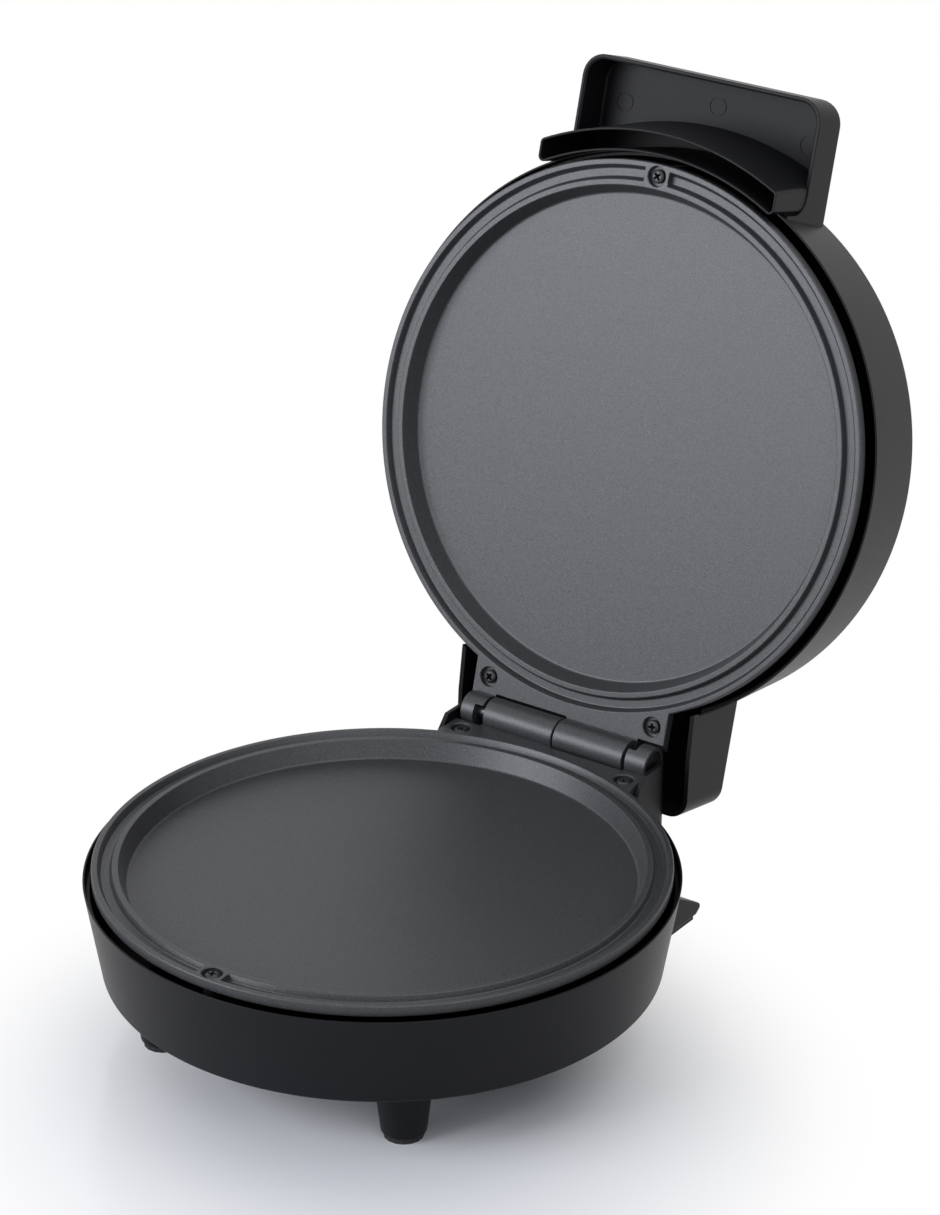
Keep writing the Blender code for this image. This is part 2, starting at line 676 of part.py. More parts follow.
def plate_mesh():
    """The casting that serves as either plate, with its face at z = 0 and its hinge behind it."""
    plate = placed("plate", turned("plate_round", plate_profile()))
    half_boss = FRONT_BOSS_WIDTH / 2
    boss = box(
        "front_boss",
        (-half_boss, -PLATE_RADIUS + LAND_WIDTH / 2, -FLANGE_THICKNESS + LAND_EDGE),
        (half_boss, -CHANNEL_INNER_RADIUS + RIDGE_WIDTH / 2, 0),
    )
    stud_end = shield_bottom() - FIT_GAP - NUT_HEIGHT - STUD_END
    stages = [join(boss), join(hinge_tab())]
    stages.append(join(rod("stud", STUD_RADIUS, stud_end, -PLATE_DEPTH + COOK_THICKNESS / 2)))
    for side, place in SCREW_PLACES.items():
        head = SCREW_HEAD_RADIUS + HEAD_CLEARANCE
        shank = SCREW_SHANK_RADIUS + SHANK_CLEARANCE
        through = -FLANGE_THICKNESS - OVERRUN
        stages.append(cut(rod(f"counterbore_{side}", head, -COUNTERBORE_DEPTH, OVERRUN, centre=place)))
        stages.append(cut(rod(f"screw_hole_{side}", shank, through, OVERRUN, centre=place)))
    combined(plate, *stages)
    finished(plate, PLATE_COATING)
    mesh = plate.data
    mesh.name = "plate"
    bpy.data.objects.remove(plate, do_unlink=True)
    return mesh


def screw_mesh():
    """A pan-head screw with a cross recess, its seat at z = 0 and its head up."""
    shoulder_share, crown_share = 0.6, 0.62
    profile = [
        (0, SCREW_HEAD_HEIGHT),
        (SCREW_HEAD_RADIUS * crown_share, SCREW_HEAD_HEIGHT),
        (SCREW_HEAD_RADIUS, SCREW_HEAD_HEIGHT * shoulder_share),
        (SCREW_HEAD_RADIUS, 0),
        (SCREW_SHANK_RADIUS, 0),
        (SCREW_SHANK_RADIUS, SCREW_SHANK_RADIUS - SCREW_LENGTH),
        (0, -SCREW_LENGTH),
    ]
    screw = placed("screw", turned("screw", profile, SMALL_STEPS))
    half_width = DRIVE_WIDTH / 2
    half_length = SCREW_HEAD_RADIUS * crown_share
    bottom = SCREW_HEAD_HEIGHT - DRIVE_DEPTH
    top = SCREW_HEAD_HEIGHT + OVERRUN
    across = box("drive_x", (-half_length, -half_width, bottom), (half_length, half_width, top))
    along = box("drive_y", (-half_width, -half_length, bottom), (half_width, half_length, top))
    combined(screw, cut(across), cut(along))
    finished(screw, BLACK_STEEL)
    mesh = screw.data
    mesh.name = "plate_screw"
    bpy.data.objects.remove(screw, do_unlink=True)
    return mesh


def shield_bottom():
    """Underside of the heat shield, in a plate's own frame."""
    return -PLATE_DEPTH - 2 * FIT_GAP - 2 * ELEMENT_TUBE_RADIUS - SHIELD_SHEET


def element_route():
    """Half of the element's centre line: a straight end, a bend and half of the loop."""
    centre_x = ELEMENT_END_X + ELEMENT_BEND
    centre_y = math.sqrt((ELEMENT_LOOP_RADIUS + ELEMENT_BEND) ** 2 - centre_x**2)
    towards_middle = math.atan2(centre_y, centre_x)
    bend = arc((centre_x, centre_y), ELEMENT_BEND, math.pi, math.pi + towards_middle, CORNER_STEPS)
    steps = ELEMENT_LOOP_POINTS // 2
    loop = arc((0, 0), ELEMENT_LOOP_RADIUS, towards_middle, -math.pi / 2, steps)
    return [(ELEMENT_END_X, ELEMENT_END_Y), *bend, *loop[1:]]


def element_curve():
    """A sheathed tube bent to an open loop, both ends leaving to the rear."""
    right = element_route()
    left = [(-x, y) for x, y in reversed(right[:-1])]
    curve = bpy.data.curves.new("heating_element", "CURVE")
    curve.dimensions = "3D"
    spline = curve.splines.new("POLY")
    spline.points.add(len(right) + len(left) - 1)
    for point, (x, y) in zip(spline.points, right + left):
        point.co = (x, y, 0, 1)
    curve.bevel_depth = ELEMENT_TUBE_RADIUS
    curve.bevel_resolution = 2
    curve.use_fill_caps = True
    curve.materials.append(material_for(ELEMENT_STEEL))
    return curve


def element_mesh():
    """The element's tube with a thinner terminal standing out of each end."""
    tube = placed("tube", element_curve())
    graph = bpy.context.evaluated_depsgraph_get()
    mesh = bpy.data.meshes.new_from_object(tube.evaluated_get(graph), depsgraph=graph)
    bpy.data.objects.remove(tube, do_unlink=True)
    bm = bmesh.new()
    bm.from_mesh(mesh)
    element = placed("element", mesh_from("heating_element", bm))
    span = (ELEMENT_END_Y - OVERRUN, ELEMENT_END_Y + TERMINAL_LENGTH)
    pins = [
        rod(f"terminal_{side}", TERMINAL_RADIUS, *span, "y", (side * ELEMENT_END_X, 0), SMALL_STEPS // 2)
        for side in (-1, 1)
    ]
    combined(element, *map(join, pins))
    finished(element, ELEMENT_STEEL)
    mesh = element.data
    mesh.name = "heating_element"
    bpy.data.objects.remove(element, do_unlink=True)
    return mesh


def shield_mesh():
    """A dished sheet that holds the element against the plate, notched for the element's ends."""
    bottom = shield_bottom()
    top = bottom + SHIELD_SHEET
    rim = -PLATE_DEPTH - FIT_GAP
    hole = STUD_RADIUS + FIT_GAP
    wall = SHIELD_RADIUS + SHIELD_WALL_RUN
    profile = [
        (hole, top),
        (SHIELD_RADIUS, top),
        (wall, rim),
        (wall + SHIELD_FLANGE, rim),
        (wall + SHIELD_FLANGE, rim - SHIELD_SHEET),
        (wall + SHIELD_SHEET, rim - SHIELD_SHEET),
        (SHIELD_RADIUS + SHIELD_SHEET, bottom),
        (hole, bottom),
    ]
    shield = placed("shield", turned("shield", profile, HIDDEN_STEPS))
    half_notch = ELEMENT_TUBE_RADIUS + SHIELD_NOTCH_CLEARANCE
    notches = [
        box(
            f"notch_{side}",
            (side * ELEMENT_END_X - half_notch, SHIELD_RADIUS - OVERRUN, top),
            (side * ELEMENT_END_X + half_notch, wall + SHIELD_FLANGE + OVERRUN, rim + OVERRUN),
        )
        for side in (-1, 1)
    ]
    hole_for_thermostat = rod(
        "thermostat_hole", THERMOSTAT_RADIUS + 2 * FIT_GAP, bottom - OVERRUN, top + OVERRUN,
        centre=(0, -THERMOSTAT_FORWARD),
    )
    combined(shield, *map(cut, notches), cut(hole_for_thermostat))
    finished(shield, SHIELD_STEEL)
    mesh = shield.data
    mesh.name = "heat_shield"
    bpy.data.objects.remove(shield, do_unlink=True)
    return mesh


def nut_mesh():
    """A hexagon nut round the plate's stud, its upper face at z = 0."""
    flats = NUT_WIDTH / 2 / math.cos(math.pi / 6)
    nut = placed("nut", prism("nut", circle((0, 0), flats, 6), -NUT_HEIGHT, 0))
    hole = rod("nut_hole", STUD_RADIUS + FIT_GAP, -NUT_HEIGHT - OVERRUN, OVERRUN)
    combined(nut, cut(hole))
    finished(nut, PIN_STEEL)
    mesh = nut.data
    mesh.name = "shield_nut"
    bpy.data.objects.remove(nut, do_unlink=True)
    return mesh


def heated_plate(prefix, casting, meshes):
    """One plate with its screws, element, heat shield and nut, in that plate's own frame."""
    placed(f"{prefix}_plate", meshes["plate"], casting)
    for side, (x, y) in SCREW_PLACES.items():
        seat = FIT_GAP - COUNTERBORE_DEPTH
        placed(f"{prefix}_plate_screw_{side}", meshes["screw"], casting, (x, y, seat))
    element_height = -PLATE_DEPTH - FIT_GAP - ELEMENT_TUBE_RADIUS
    placed(f"{prefix}_heating_element", meshes["element"], casting, (0, 0, element_height))
    placed(f"{prefix}_heat_shield", meshes["shield"], casting)
    placed(f"{prefix}_shield_nut", meshes["nut"], casting, (0, 0, shield_bottom() - FIT_GAP))


def guard_outline(inset, spread):
    """Plan of the guard, or of its inside: two arcs about the plate's centre and two straight ends."""
    half_width, corner = GUARD_HALF_WIDTH - inset, GUARD_CORNER - inset
    outer = GUARD_RADIUS + GUARD_THICKNESS + spread - inset
    inner = GUARD_RADIUS + inset
    down = -math.pi / 2
    corners = []
    for radius, turn in ((outer, 1), (inner, -1)):
        half_angle = turn * math.asin(half_width / radius)
        points = arc((0, 0), radius, down - half_angle, down + half_angle, 3 * CORNER_STEPS)
        corners += [(*points[0], corner), *((x, y, 0) for x, y in points[1:-1]), (*points[-1], corner)]
    return rounded(corners)


def guard_solid(name, inset, low, high):
    """The guard's outside, or with an inset its inside, widening towards the handle's top."""
    rings = []
    for height in (low, high):
        spread = GUARD_TAPER * (height + GUARD_DROP) / (HANDLE_TOP + GUARD_DROP)
        rings.append([(x, y, height) for x, y in guard_outline(inset, spread)])
    return lofted(name, rings)


def guard_filler():
    """Solid web between the round housing and the guard, from cheek to cheek."""
    outer = GUARD_RADIUS + GUARD_WALL / 2
    half_angle = math.asin((HANDLE_HALF_WIDTH - WALL / 2) / outer)
    rings = []
    for height in (WEB_SETBACK, HANDLE_RIM + WALL):
        radius = tapered_radius(LID_RIM_SETBACK, LID_TAPER, LID_DEPTH, height)
        inner = radius - LIP_THICKNESS / 2
        down = -math.pi / 2
        steps = 3 * CORNER_STEPS
        outline = arc((0, 0), outer, down - half_angle, down + half_angle, steps)
        outline += arc((0, 0), inner, down + half_angle, down - half_angle, steps)
        rings.append([(x, y, height) for x, y in outline])
    return lofted("guard_filler", rings)


def handle_outline(inset, root):
    """Plan of the handle or of its tray, inset from its outside."""
    half_width = HANDLE_HALF_WIDTH - inset
    front = -HANDLE_FRONT + inset
    corner = HANDLE_CORNER - inset
    return rounded(
        (
            (-half_width, root, 0),
            (-half_width, front, corner),
            (half_width, front, corner),
            (half_width, root, 0),
        )
    )


def handle_solid():
    """The handle tray: a shallow box, open downwards in front of the guard.

    Its cheeks run on past the guard's ends, and turn down there to the round housing.
    """
    top_radius = tapered_radius(LID_RIM_SETBACK, LID_TAPER, LID_DEPTH, HANDLE_TOP)
    root = -math.sqrt(top_radius**2 - HANDLE_HALF_WIDTH**2) + 2 * WALL
    levels = ((WEB_SETBACK, 0.0), (HANDLE_TOP - HANDLE_EDGE, 0.0), (HANDLE_TOP, HANDLE_EDGE))
    rings = [[(x, y, z) for x, y in handle_outline(inset, root)] for z, inset in levels]
    handle = placed("handle", lofted("handle", rings))
    turn_down = -math.sqrt((GUARD_RADIUS + GUARD_WALL) ** 2 - HANDLE_HALF_WIDTH**2)
    beyond, low = -HANDLE_FRONT - OVERRUN, WEB_SETBACK - OVERRUN
    under = rounded(
        (
            (beyond, low, 0),
            (turn_down, low, 0),
            (turn_down, HANDLE_RIM, HANDLE_CHEEK_CORNER),
            (beyond, HANDLE_RIM, 0),
        )
    )
    reach = HANDLE_HALF_WIDTH + OVERRUN
    guard_middle = GUARD_RADIUS + GUARD_THICKNESS / 2
    inner_half_width = HANDLE_HALF_WIDTH - WALL
    half_angle = math.asin(inner_half_width / guard_middle)
    down = -math.pi / 2
    back = arc((0, 0), guard_middle, down + half_angle, down - half_angle, 3 * CORNER_STEPS)
    front = handle_outline(WALL, 0)[1:-1]
    tray = prism("tray", back + front, HANDLE_RIM - OVERRUN, HANDLE_TOP - WALL)
    combined(handle, cut(prism("under_rim", under, -reach, reach, "x")), cut(tray))
    mesh = handle.data
    bpy.data.objects.remove(handle, do_unlink=True)
    return mesh


def rear_box_outline(inset, height):
    """Plan of the lid's rear box at a height, or of its inside."""
    half_width = REAR_BOX_HALF_WIDTH - inset
    top_radius = RIM_RADIUS - LID_TAPER
    root = math.sqrt(top_radius**2 - REAR_BOX_HALF_WIDTH**2) - 2 * WALL
    taper = REAR_BOX_TAPER * (height - REAR_RIM_HEIGHT) / (REAR_BOX_DEPTH - REAR_RIM_HEIGHT)
    rear = HINGE_Y + REAR_BOX_REACH - taper - inset
    corner = REAR_BOX_CORNER - inset
    return rounded(
        (
            (-half_width, root, 0),
            (half_width, root, 0),
            (half_width, rear, corner),
            (-half_width, rear, corner),
        )
    )


def rear_box_solid():
    """The box that covers the hinge, with its rim sloping up to the rear."""
    shoulder = REAR_BOX_DEPTH - REAR_BOX_EDGE
    levels = ((0, 0), (shoulder, 0), (REAR_BOX_DEPTH, REAR_BOX_EDGE))
    rings = [[(x, y, z) for x, y in rear_box_outline(inset, z)] for z, inset in levels]
    rear_box = placed("rear_box", lofted("rear_box", rings))
    rim = [
        (HINGE_Y + along * REAR_BOX_REACH, up * REAR_RIM_HEIGHT) for along, up in REAR_RIM_SHARES
    ]
    side = [(rim[0][0], -OVERRUN), *rim, (rim[-1][0], -OVERRUN)]
    reach = REAR_BOX_HALF_WIDTH + OVERRUN
    combined(rear_box, cut(prism("rear_rim", side, -reach, reach, "x")))
    mesh = rear_box.data
    bpy.data.objects.remove(rear_box, do_unlink=True)
    return mesh


def rear_box_hollow():
    """Inside of the rear box, open to the round housing and downwards."""
    levels = (-OVERRUN, REAR_BOX_DEPTH - WALL)
    rings = [[(x, y, z) for x, y in rear_box_outline(WALL, z)] for z in levels]
    return lofted("rear_box_hollow", rings)


def lid_housing(lid):
    """The bucket over the upper plate, with its rear box, guard, handle tray, bosses and lamp holes."""
    outside = shell_outside(LID_RIM_SETBACK, LID_DEPTH, LID_TAPER, LID_EDGE)
    inside = shell_inside(LID_RIM_SETBACK, LID_DEPTH, LID_TAPER, OVERRUN)
    body_top = LID_DEPTH - WALL / 2
    box_top = REAR_BOX_DEPTH - WALL / 2
    bosses, bores = screw_bosses(1, (body_top, box_top, box_top))
    lamp_holes = [
        rod(f"lamp_hole_{side}", LENS_STEM_RADIUS + FIT_GAP, LID_DEPTH - WALL - OVERRUN,
            LID_DEPTH + OVERRUN, centre=(side * LAMP_X, LAMP_Y))
        for side in (-1, 1)
    ]
    housing = placed("lid_housing", turned("lid_outside", outside), lid)
    combined(
        housing,
        join(handle_solid()),
        join(guard_filler()),
        join(guard_solid("guard", 0.0, -GUARD_DROP, HANDLE_TOP - WALL / 2)),
        join(rear_box_solid()),
        cut(hollow_round(turned("lid_inside", inside), bosses)),
        cut(hollow_round(rear_box_hollow(), bosses)),
        cut(guard_solid("guard_hollow", GUARD_WALL, -GUARD_DROP - OVERRUN, HANDLE_TOP - WALL)),
        *map(cut, bores),
        *map(cut, lamp_holes),
    )
    return finished(housing, BLACK_PLASTIC)


def hinge_pieces(base):
    """The pin through all four knuckles and the clip on each of its ends."""
    reach = CLIP_START + CLIP_THICKNESS + PIN_END
    pin = placed("hinge_pin", hinge_rod("hinge_pin", PIN_RADIUS, -reach, reach), base)
    finished(pin, PIN_STEEL)
    for side, name in ((-1, "left"), (1, "right")):
        span = sorted((side * CLIP_START, side * (CLIP_START + CLIP_THICKNESS)))
        outer = BORE_RADIUS + CLIP_WIDTH
        clip = placed(f"pin_clip_{name}", hinge_rod("clip", outer, *span), base)
        hole = hinge_rod("clip_hole", BORE_RADIUS, span[0] - OVERRUN, span[1] + OVERRUN)
        combined(clip, cut(hole))
        finished(clip, BLACK_STEEL)


def foot_pads(base):
    """Four rubber pads, their undersides on the table."""
    table = -PLATE_FACE_HEIGHT
    for side, name in ((-1, "left"), (1, "right")):
        place = (side * FRONT_FOOT_X, FRONT_FOOT_Y)
        disc = rod(f"front_pad_{name}", FOOT_END_RADIUS - PAD_INSET, table, table + FRONT_PAD_THICKNESS,
                   centre=place)
        finished(placed(f"front_foot_pad_{name}", disc, base), RUBBER)
        span = sorted(
            (side * (REAR_LEG_OUTER_X - PAD_INSET), side * (REAR_LEG_OUTER_X - REAR_LEG_WIDTH + PAD_INSET))
        )
        corner = PAD_INSET
        outline = rounded(
            (
                (span[0], REAR_LEG_HEEL + PAD_INSET, corner),
                (span[1], REAR_LEG_HEEL + PAD_INSET, corner),
                (span[1], REAR_LEG_TOE - PAD_INSET, corner),
                (span[0], REAR_LEG_TOE - PAD_INSET, corner),
            )
        )
        pad = prism(f"rear_pad_{name}", outline, table, table + REAR_PAD_THICKNESS)
        finished(placed(f"rear_foot_pad_{name}", pad, base), RUBBER)


def thermostat(base):
    """A disc thermostat against the plate, on a strap under the heat shield, with two blades."""
    bottom = shield_bottom() - THERMOSTAT_DROP
    body = rod("thermostat", THERMOSTAT_RADIUS, bottom, -PLATE_DEPTH - FIT_GAP)
    strap_top = shield_bottom() - FIT_GAP
    strap = box(
        "strap",
        (-STRAP_LENGTH / 2, -STRAP_WIDTH / 2, strap_top - STRAP_THICKNESS),
        (STRAP_LENGTH / 2, STRAP_WIDTH / 2, strap_top),
    )
    blades = []
    for side in (-1, 1):
        centre = side * BLADE_SPACING / 2
        low = (centre - BLADE_THICKNESS / 2, -BLADE_WIDTH / 2, bottom - BLADE_LENGTH)
        high = (centre + BLADE_THICKNESS / 2, BLADE_WIDTH / 2, bottom + THERMOSTAT_DROP / 2)
        blades.append(join(box(f"blade_{side}", low, high)))
    piece = placed("thermostat", body, base, (0, -THERMOSTAT_FORWARD, 0))
    combined(piece, join(strap), *blades)
    return finished(piece, CERAMIC)


def thermal_fuse(base):
    """A one-shot fuse lying under the heat shield, with its two wire ends."""
    profile = [
        (0, -FUSE_LENGTH / 2 - FUSE_WIRE_LENGTH),
        (FUSE_WIRE_RADIUS, -FUSE_LENGTH / 2 - FUSE_WIRE_LENGTH),
        (FUSE_WIRE_RADIUS, -FUSE_LENGTH / 2),
        (FUSE_RADIUS, -FUSE_LENGTH / 2),
        (FUSE_RADIUS, FUSE_LENGTH / 2),
        (FUSE_WIRE_RADIUS, FUSE_LENGTH / 2),
        (FUSE_WIRE_RADIUS, FUSE_LENGTH / 2 + FUSE_WIRE_LENGTH),
        (0, FUSE_LENGTH / 2 + FUSE_WIRE_LENGTH),
    ]
    height = shield_bottom() - FIT_GAP - FUSE_RADIUS
    fuse = placed("thermal_fuse", turned("thermal_fuse", profile, SMALL_STEPS // 2), base,
                  (FUSE_X, FUSE_Y, height), (0, math.pi / 2, 0))
    return finished(fuse, PIN_STEEL)


def terminal_block(base):
    """A ceramic block on the neck's floor, with three wire holes and a terminal screw over each."""
    width, length, height = BLOCK_SIZE
    floor = WALL - NECK_DEPTH + FIT_GAP
    outline = rounded(
        [
            (x, y, BLOCK_EDGE)
            for x, y in (
                (-width / 2, -length / 2),
                (width / 2, -length / 2),
                (width / 2, length / 2),
                (-width / 2, length / 2),
            )
        ]
    )
    block = placed("terminal_block", prism("terminal_block", outline, 0, height), base,
                   (0, HINGE_Y - BLOCK_FORWARD, floor))
    holes, screws = [], []
    for i in (-1, 0, 1):
        x = i * BLOCK_HOLE_PITCH
        reach = length / 2 + OVERRUN
        holes.append(cut(rod(f"wire_hole_{i}", BLOCK_HOLE_RADIUS, -reach, reach, "y", (x, height / 3))))
        screws.append(
            join(rod(f"terminal_screw_{i}", BLOCK_SCREW_RADIUS, height / 2, height + BLOCK_EDGE,
                     centre=(x, 0)))
        )
    combined(block, *holes, *screws)
    return finished(block, CERAMIC)


def cord_gland(base):
    """A rubber gland in the neck's rear wall: two flanges, a neck through the wall and a bore."""
    half_wall = WALL / 2 + FIT_GAP
    outer = half_wall + GLAND_FLANGE_THICKNESS
    profile = [
        (GLAND_BORE_RADIUS, -outer),
        (GLAND_FLANGE_RADIUS, -outer),
        (GLAND_FLANGE_RADIUS, -half_wall),
        (GLAND_NECK_RADIUS, -half_wall),
        (GLAND_NECK_RADIUS, half_wall),
        (GLAND_FLANGE_RADIUS, half_wall),
        (GLAND_FLANGE_RADIUS, outer),
        (GLAND_BORE_RADIUS, outer),
    ]
    gland = placed("cord_gland", turned("cord_gland", profile, SMALL_STEPS), base,
                   (0, NECK_REAR - WALL / 2, GLAND_HEIGHT), (math.pi / 2, 0, 0))
    return finished(gland, RUBBER)


def lamps(lid):
    """A coloured lens in each lamp hole and the small bulb inside it."""
    outside = LID_DEPTH + FIT_GAP
    crown_share = 0.7
    stem_end = LID_DEPTH - LENS_STEM_LENGTH
    bore = LENS_STEM_RADIUS - LENS_WALL
    lens = [
        (0, outside + LENS_HEIGHT),
        (LENS_RADIUS * crown_share, outside + LENS_HEIGHT),
        (LENS_RADIUS, outside + LENS_HEIGHT / 3),
        (LENS_RADIUS, outside),
        (LENS_STEM_RADIUS, outside),
        (LENS_STEM_RADIUS, stem_end),
        (bore, stem_end),
        (bore, outside),
        (0, outside),
    ]
    bulb_radius = bore - FIT_GAP
    bulb_top = outside - FIT_GAP
    bulb = [
        (0, bulb_top),
        (bulb_radius / 2, bulb_top),
        (bulb_radius, bulb_top - bulb_radius / 2),
        (bulb_radius, bulb_top - BULB_LENGTH),
        (0, bulb_top - BULB_LENGTH),
    ]
    for side, name, finish in ((-1, "power", RED_LENS), (1, "ready", GREEN_LENS)):
        place = (side * LAMP_X, LAMP_Y, 0)
        finished(placed(f"{name}_lamp_lens", turned("lens", lens, SMALL_STEPS), lid, place), finish)
        finished(placed(f"{name}_lamp", turned("bulb", bulb, SMALL_STEPS), lid, place), BULB_GLASS)


def main():
    clear_scene()
    base = frame("base_face", location=(0, PLATE_CENTRE_Y, PLATE_FACE_HEIGHT))
    hinge = frame("lid_hinge_axis", base, (0, HINGE_Y, HINGE_RISE), (-LID_OPEN_ANGLE, 0, 0))
    lid = frame("lid_face", hinge, (0, -HINGE_Y, PLATE_GAP - HINGE_RISE))
    upper_casting = frame("upper_casting", lid, rotation=(0, math.pi, 0))
    meshes = {
        "plate": plate_mesh(),
        "screw": screw_mesh(),
        "element": element_mesh(),
        "shield": shield_mesh(),
        "nut": nut_mesh(),
    }
    base_housing(base)
    heated_plate("lower", base, meshes)
    hinge_pieces(base)
    foot_pads(base)
    thermostat(base)
    thermal_fuse(base)
    terminal_block(base)
    cord_gland(base)
    lid_housing(lid)
    heated_plate("upper", upper_casting, meshes)
    lamps(lid)


main()
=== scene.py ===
"""Round pancake maker with its lid open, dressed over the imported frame.

Metres, +Z up, +X to the user's right and -Y to the front. Each half is drawn about the centre of its own
plate's face and then placed, so every finished object sits at the origin with its place in its mesh.
"""

import json
import logging
import math
from collections.abc import Sequence
from dataclasses import dataclass, field
from enum import Enum

import bpy
import numpy as np
from mathutils import Matrix, Vector


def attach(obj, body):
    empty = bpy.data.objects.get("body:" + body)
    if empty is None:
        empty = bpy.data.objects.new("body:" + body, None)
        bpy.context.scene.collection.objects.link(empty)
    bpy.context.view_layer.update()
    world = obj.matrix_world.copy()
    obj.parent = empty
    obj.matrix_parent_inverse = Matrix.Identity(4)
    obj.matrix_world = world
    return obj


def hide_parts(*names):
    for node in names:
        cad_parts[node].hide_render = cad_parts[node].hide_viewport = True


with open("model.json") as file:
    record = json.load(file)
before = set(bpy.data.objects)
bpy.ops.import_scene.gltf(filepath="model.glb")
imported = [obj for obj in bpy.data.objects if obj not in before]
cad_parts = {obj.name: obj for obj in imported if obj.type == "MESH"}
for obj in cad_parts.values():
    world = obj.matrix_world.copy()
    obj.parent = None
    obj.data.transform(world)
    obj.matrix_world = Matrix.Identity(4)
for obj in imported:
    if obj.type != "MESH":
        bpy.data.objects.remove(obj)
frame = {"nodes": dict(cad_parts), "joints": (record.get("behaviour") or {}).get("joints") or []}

log = logging.getLogger("pancake_maker")
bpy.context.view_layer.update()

Pair = tuple[float, float]
Triple = tuple[float, float, float]
Mesh = bpy.types.Mesh
Socket = bpy.types.NodeSocket

OVERRUN = 0.002
WELD_DISTANCE = 0.000001
NO_LENGTH = 1e-9
ROUND_STEPS = 240
KNUCKLE_STEPS = 72
SMALL_STEPS = 48
CORNER_STEPS = 8
FILLET_STEPS = 5
END_STEPS = 4
DRIVE_STEPS = 3
FLARE_STEPS = 2
TAB_STEPS = 32
GUARD_STEPS = 24
WEB_STEPS = 48
DOWN = -math.pi / 2

CLOUD_SCALE = 9.0
CLOUD_DETAIL = 3.0
FINE_DETAIL = 2.0
FINE_ROUGHNESS = 0.6
MIDDLE: Pair = (0.3, 0.7)
WIDE_MIDDLE: Pair = (0.25, 0.75)


class Body(Enum):
    """The two bodies that the hinge joins."""

    BASE = "base"
    LID = "lid"


class Operation(Enum):
    """What a tool mesh does to the piece it meets."""

    JOIN = "UNION"
    CUT = "DIFFERENCE"


class Axis(Enum):
    """The axis that a rod or a slab runs along, as the order in which (u, v, w) become (x, y, z)."""

    X = (2, 0, 1)
    Y = (0, 2, 1)
    Z = (0, 1, 2)


Stage = tuple[Operation, Mesh]


# Grids and meshes.


def corner_path(corners: Sequence[Triple], steps: int = FILLET_STEPS) -> np.ndarray:
    """Rounds a polygon's corners.

    Each corner P with unit vectors a and b towards its neighbours and half opening h gets an arc of
    radius r about P + r (a + b) / (|a + b| sin h), that runs between the two tangent points.

    Args:
        corners: (u, v, radius) for each corner in order. Radius 0 keeps the corner.
        steps: Segments in each arc.

    Returns:
        The outline's points as an array of (u, v), without repeats.
    """
    table = np.asarray(corners, float)
    points, radii = table[:, :2], table[:, 2]
    back = np.roll(points, 1, axis=0) - points
    ahead = np.roll(points, -1, axis=0) - points
    back /= np.linalg.norm(back, axis=1, keepdims=True)
    ahead /= np.linalg.norm(ahead, axis=1, keepdims=True)
    half = np.arccos(np.clip((back * ahead).sum(1), -1, 1)) / 2
    rounded = (radii > 0) & (half > NO_LENGTH) & (half < math.pi / 2 - NO_LENGTH)
    half = np.where(rounded, half, math.pi / 4)
    radii = np.where(rounded, radii, 0)
    middle = back + ahead
    size = np.linalg.norm(middle, axis=1, keepdims=True)
    middle = middle / np.where(size > NO_LENGTH, size, 1)
    centres = points + middle * (radii / np.sin(half))[:, None]
    start = points + back * (radii / np.tan(half))[:, None] - centres
    end = points + ahead * (radii / np.tan(half))[:, None] - centres
    sweep = (math.pi - 2 * half)[:, None]
    share = np.linspace(0, 1, steps + 1)[None, :]
    first = (np.sin((1 - share) * sweep) / np.sin(sweep))[..., None]
    last = (np.sin(share * sweep) / np.sin(sweep))[..., None]
    arcs = centres[:, None] + first * start[:, None] + last * end[:, None]
    arcs = arcs.reshape(-1, 2)
    keep = np.linalg.norm(arcs - np.roll(arcs, 1, axis=0), axis=1) > WELD_DISTANCE
    return arcs[keep]


def arc(centre: Pair, radius: float, start: float, end: float, steps: int) -> np.ndarray:
    """Points on an arc: centre + radius (cos a, sin a) for a from start to end.

    Args:
        centre: The arc's centre.
        radius: Its radius.
        start: First angle in radians.
        end: Last angle in radians.
        steps: Segments in the arc.

    Returns:
        An array of (u, v).
    """
    angle = np.linspace(start, end, steps + 1)
    return np.asarray(centre) + radius * np.stack([np.cos(angle), np.sin(angle)], axis=1)


def even_angles(steps: int = ROUND_STEPS) -> np.ndarray:
    """Angles round a full turn, half a step off the axes."""
    return (np.arange(steps) + 1 / 2) * math.tau / steps


def mesh_of(name: str, points: np.ndarray, quads: np.ndarray, caps: Sequence[np.ndarray]) -> Mesh:
    """Fills a mesh from whole arrays.

    Args:
        name: The mesh's name.
        points: Vertices, (n, 3).
        quads: Corner indices of the four-sided faces, (m, 4).
        caps: Corner indices of the other faces, one array each.

    Returns:
        The mesh.
    """
    sizes = np.array([4] * len(quads) + [len(cap) for cap in caps])
    loops = np.concatenate([quads.ravel(), *caps]).astype(np.int32)
    starts = np.concatenate([[0], np.cumsum(sizes)[:-1]]).astype(np.int32)
    mesh = bpy.data.meshes.new(name)
    mesh.vertices.add(len(points))
    mesh.vertices.foreach_set("co", points.astype(np.float32).ravel())
    mesh.loops.add(len(loops))
    mesh.loops.foreach_set("vertex_index", loops)
    mesh.polygons.add(len(sizes))
    mesh.polygons.foreach_set("loop_start", starts)
    mesh.update(calc_edges=True)
    return mesh


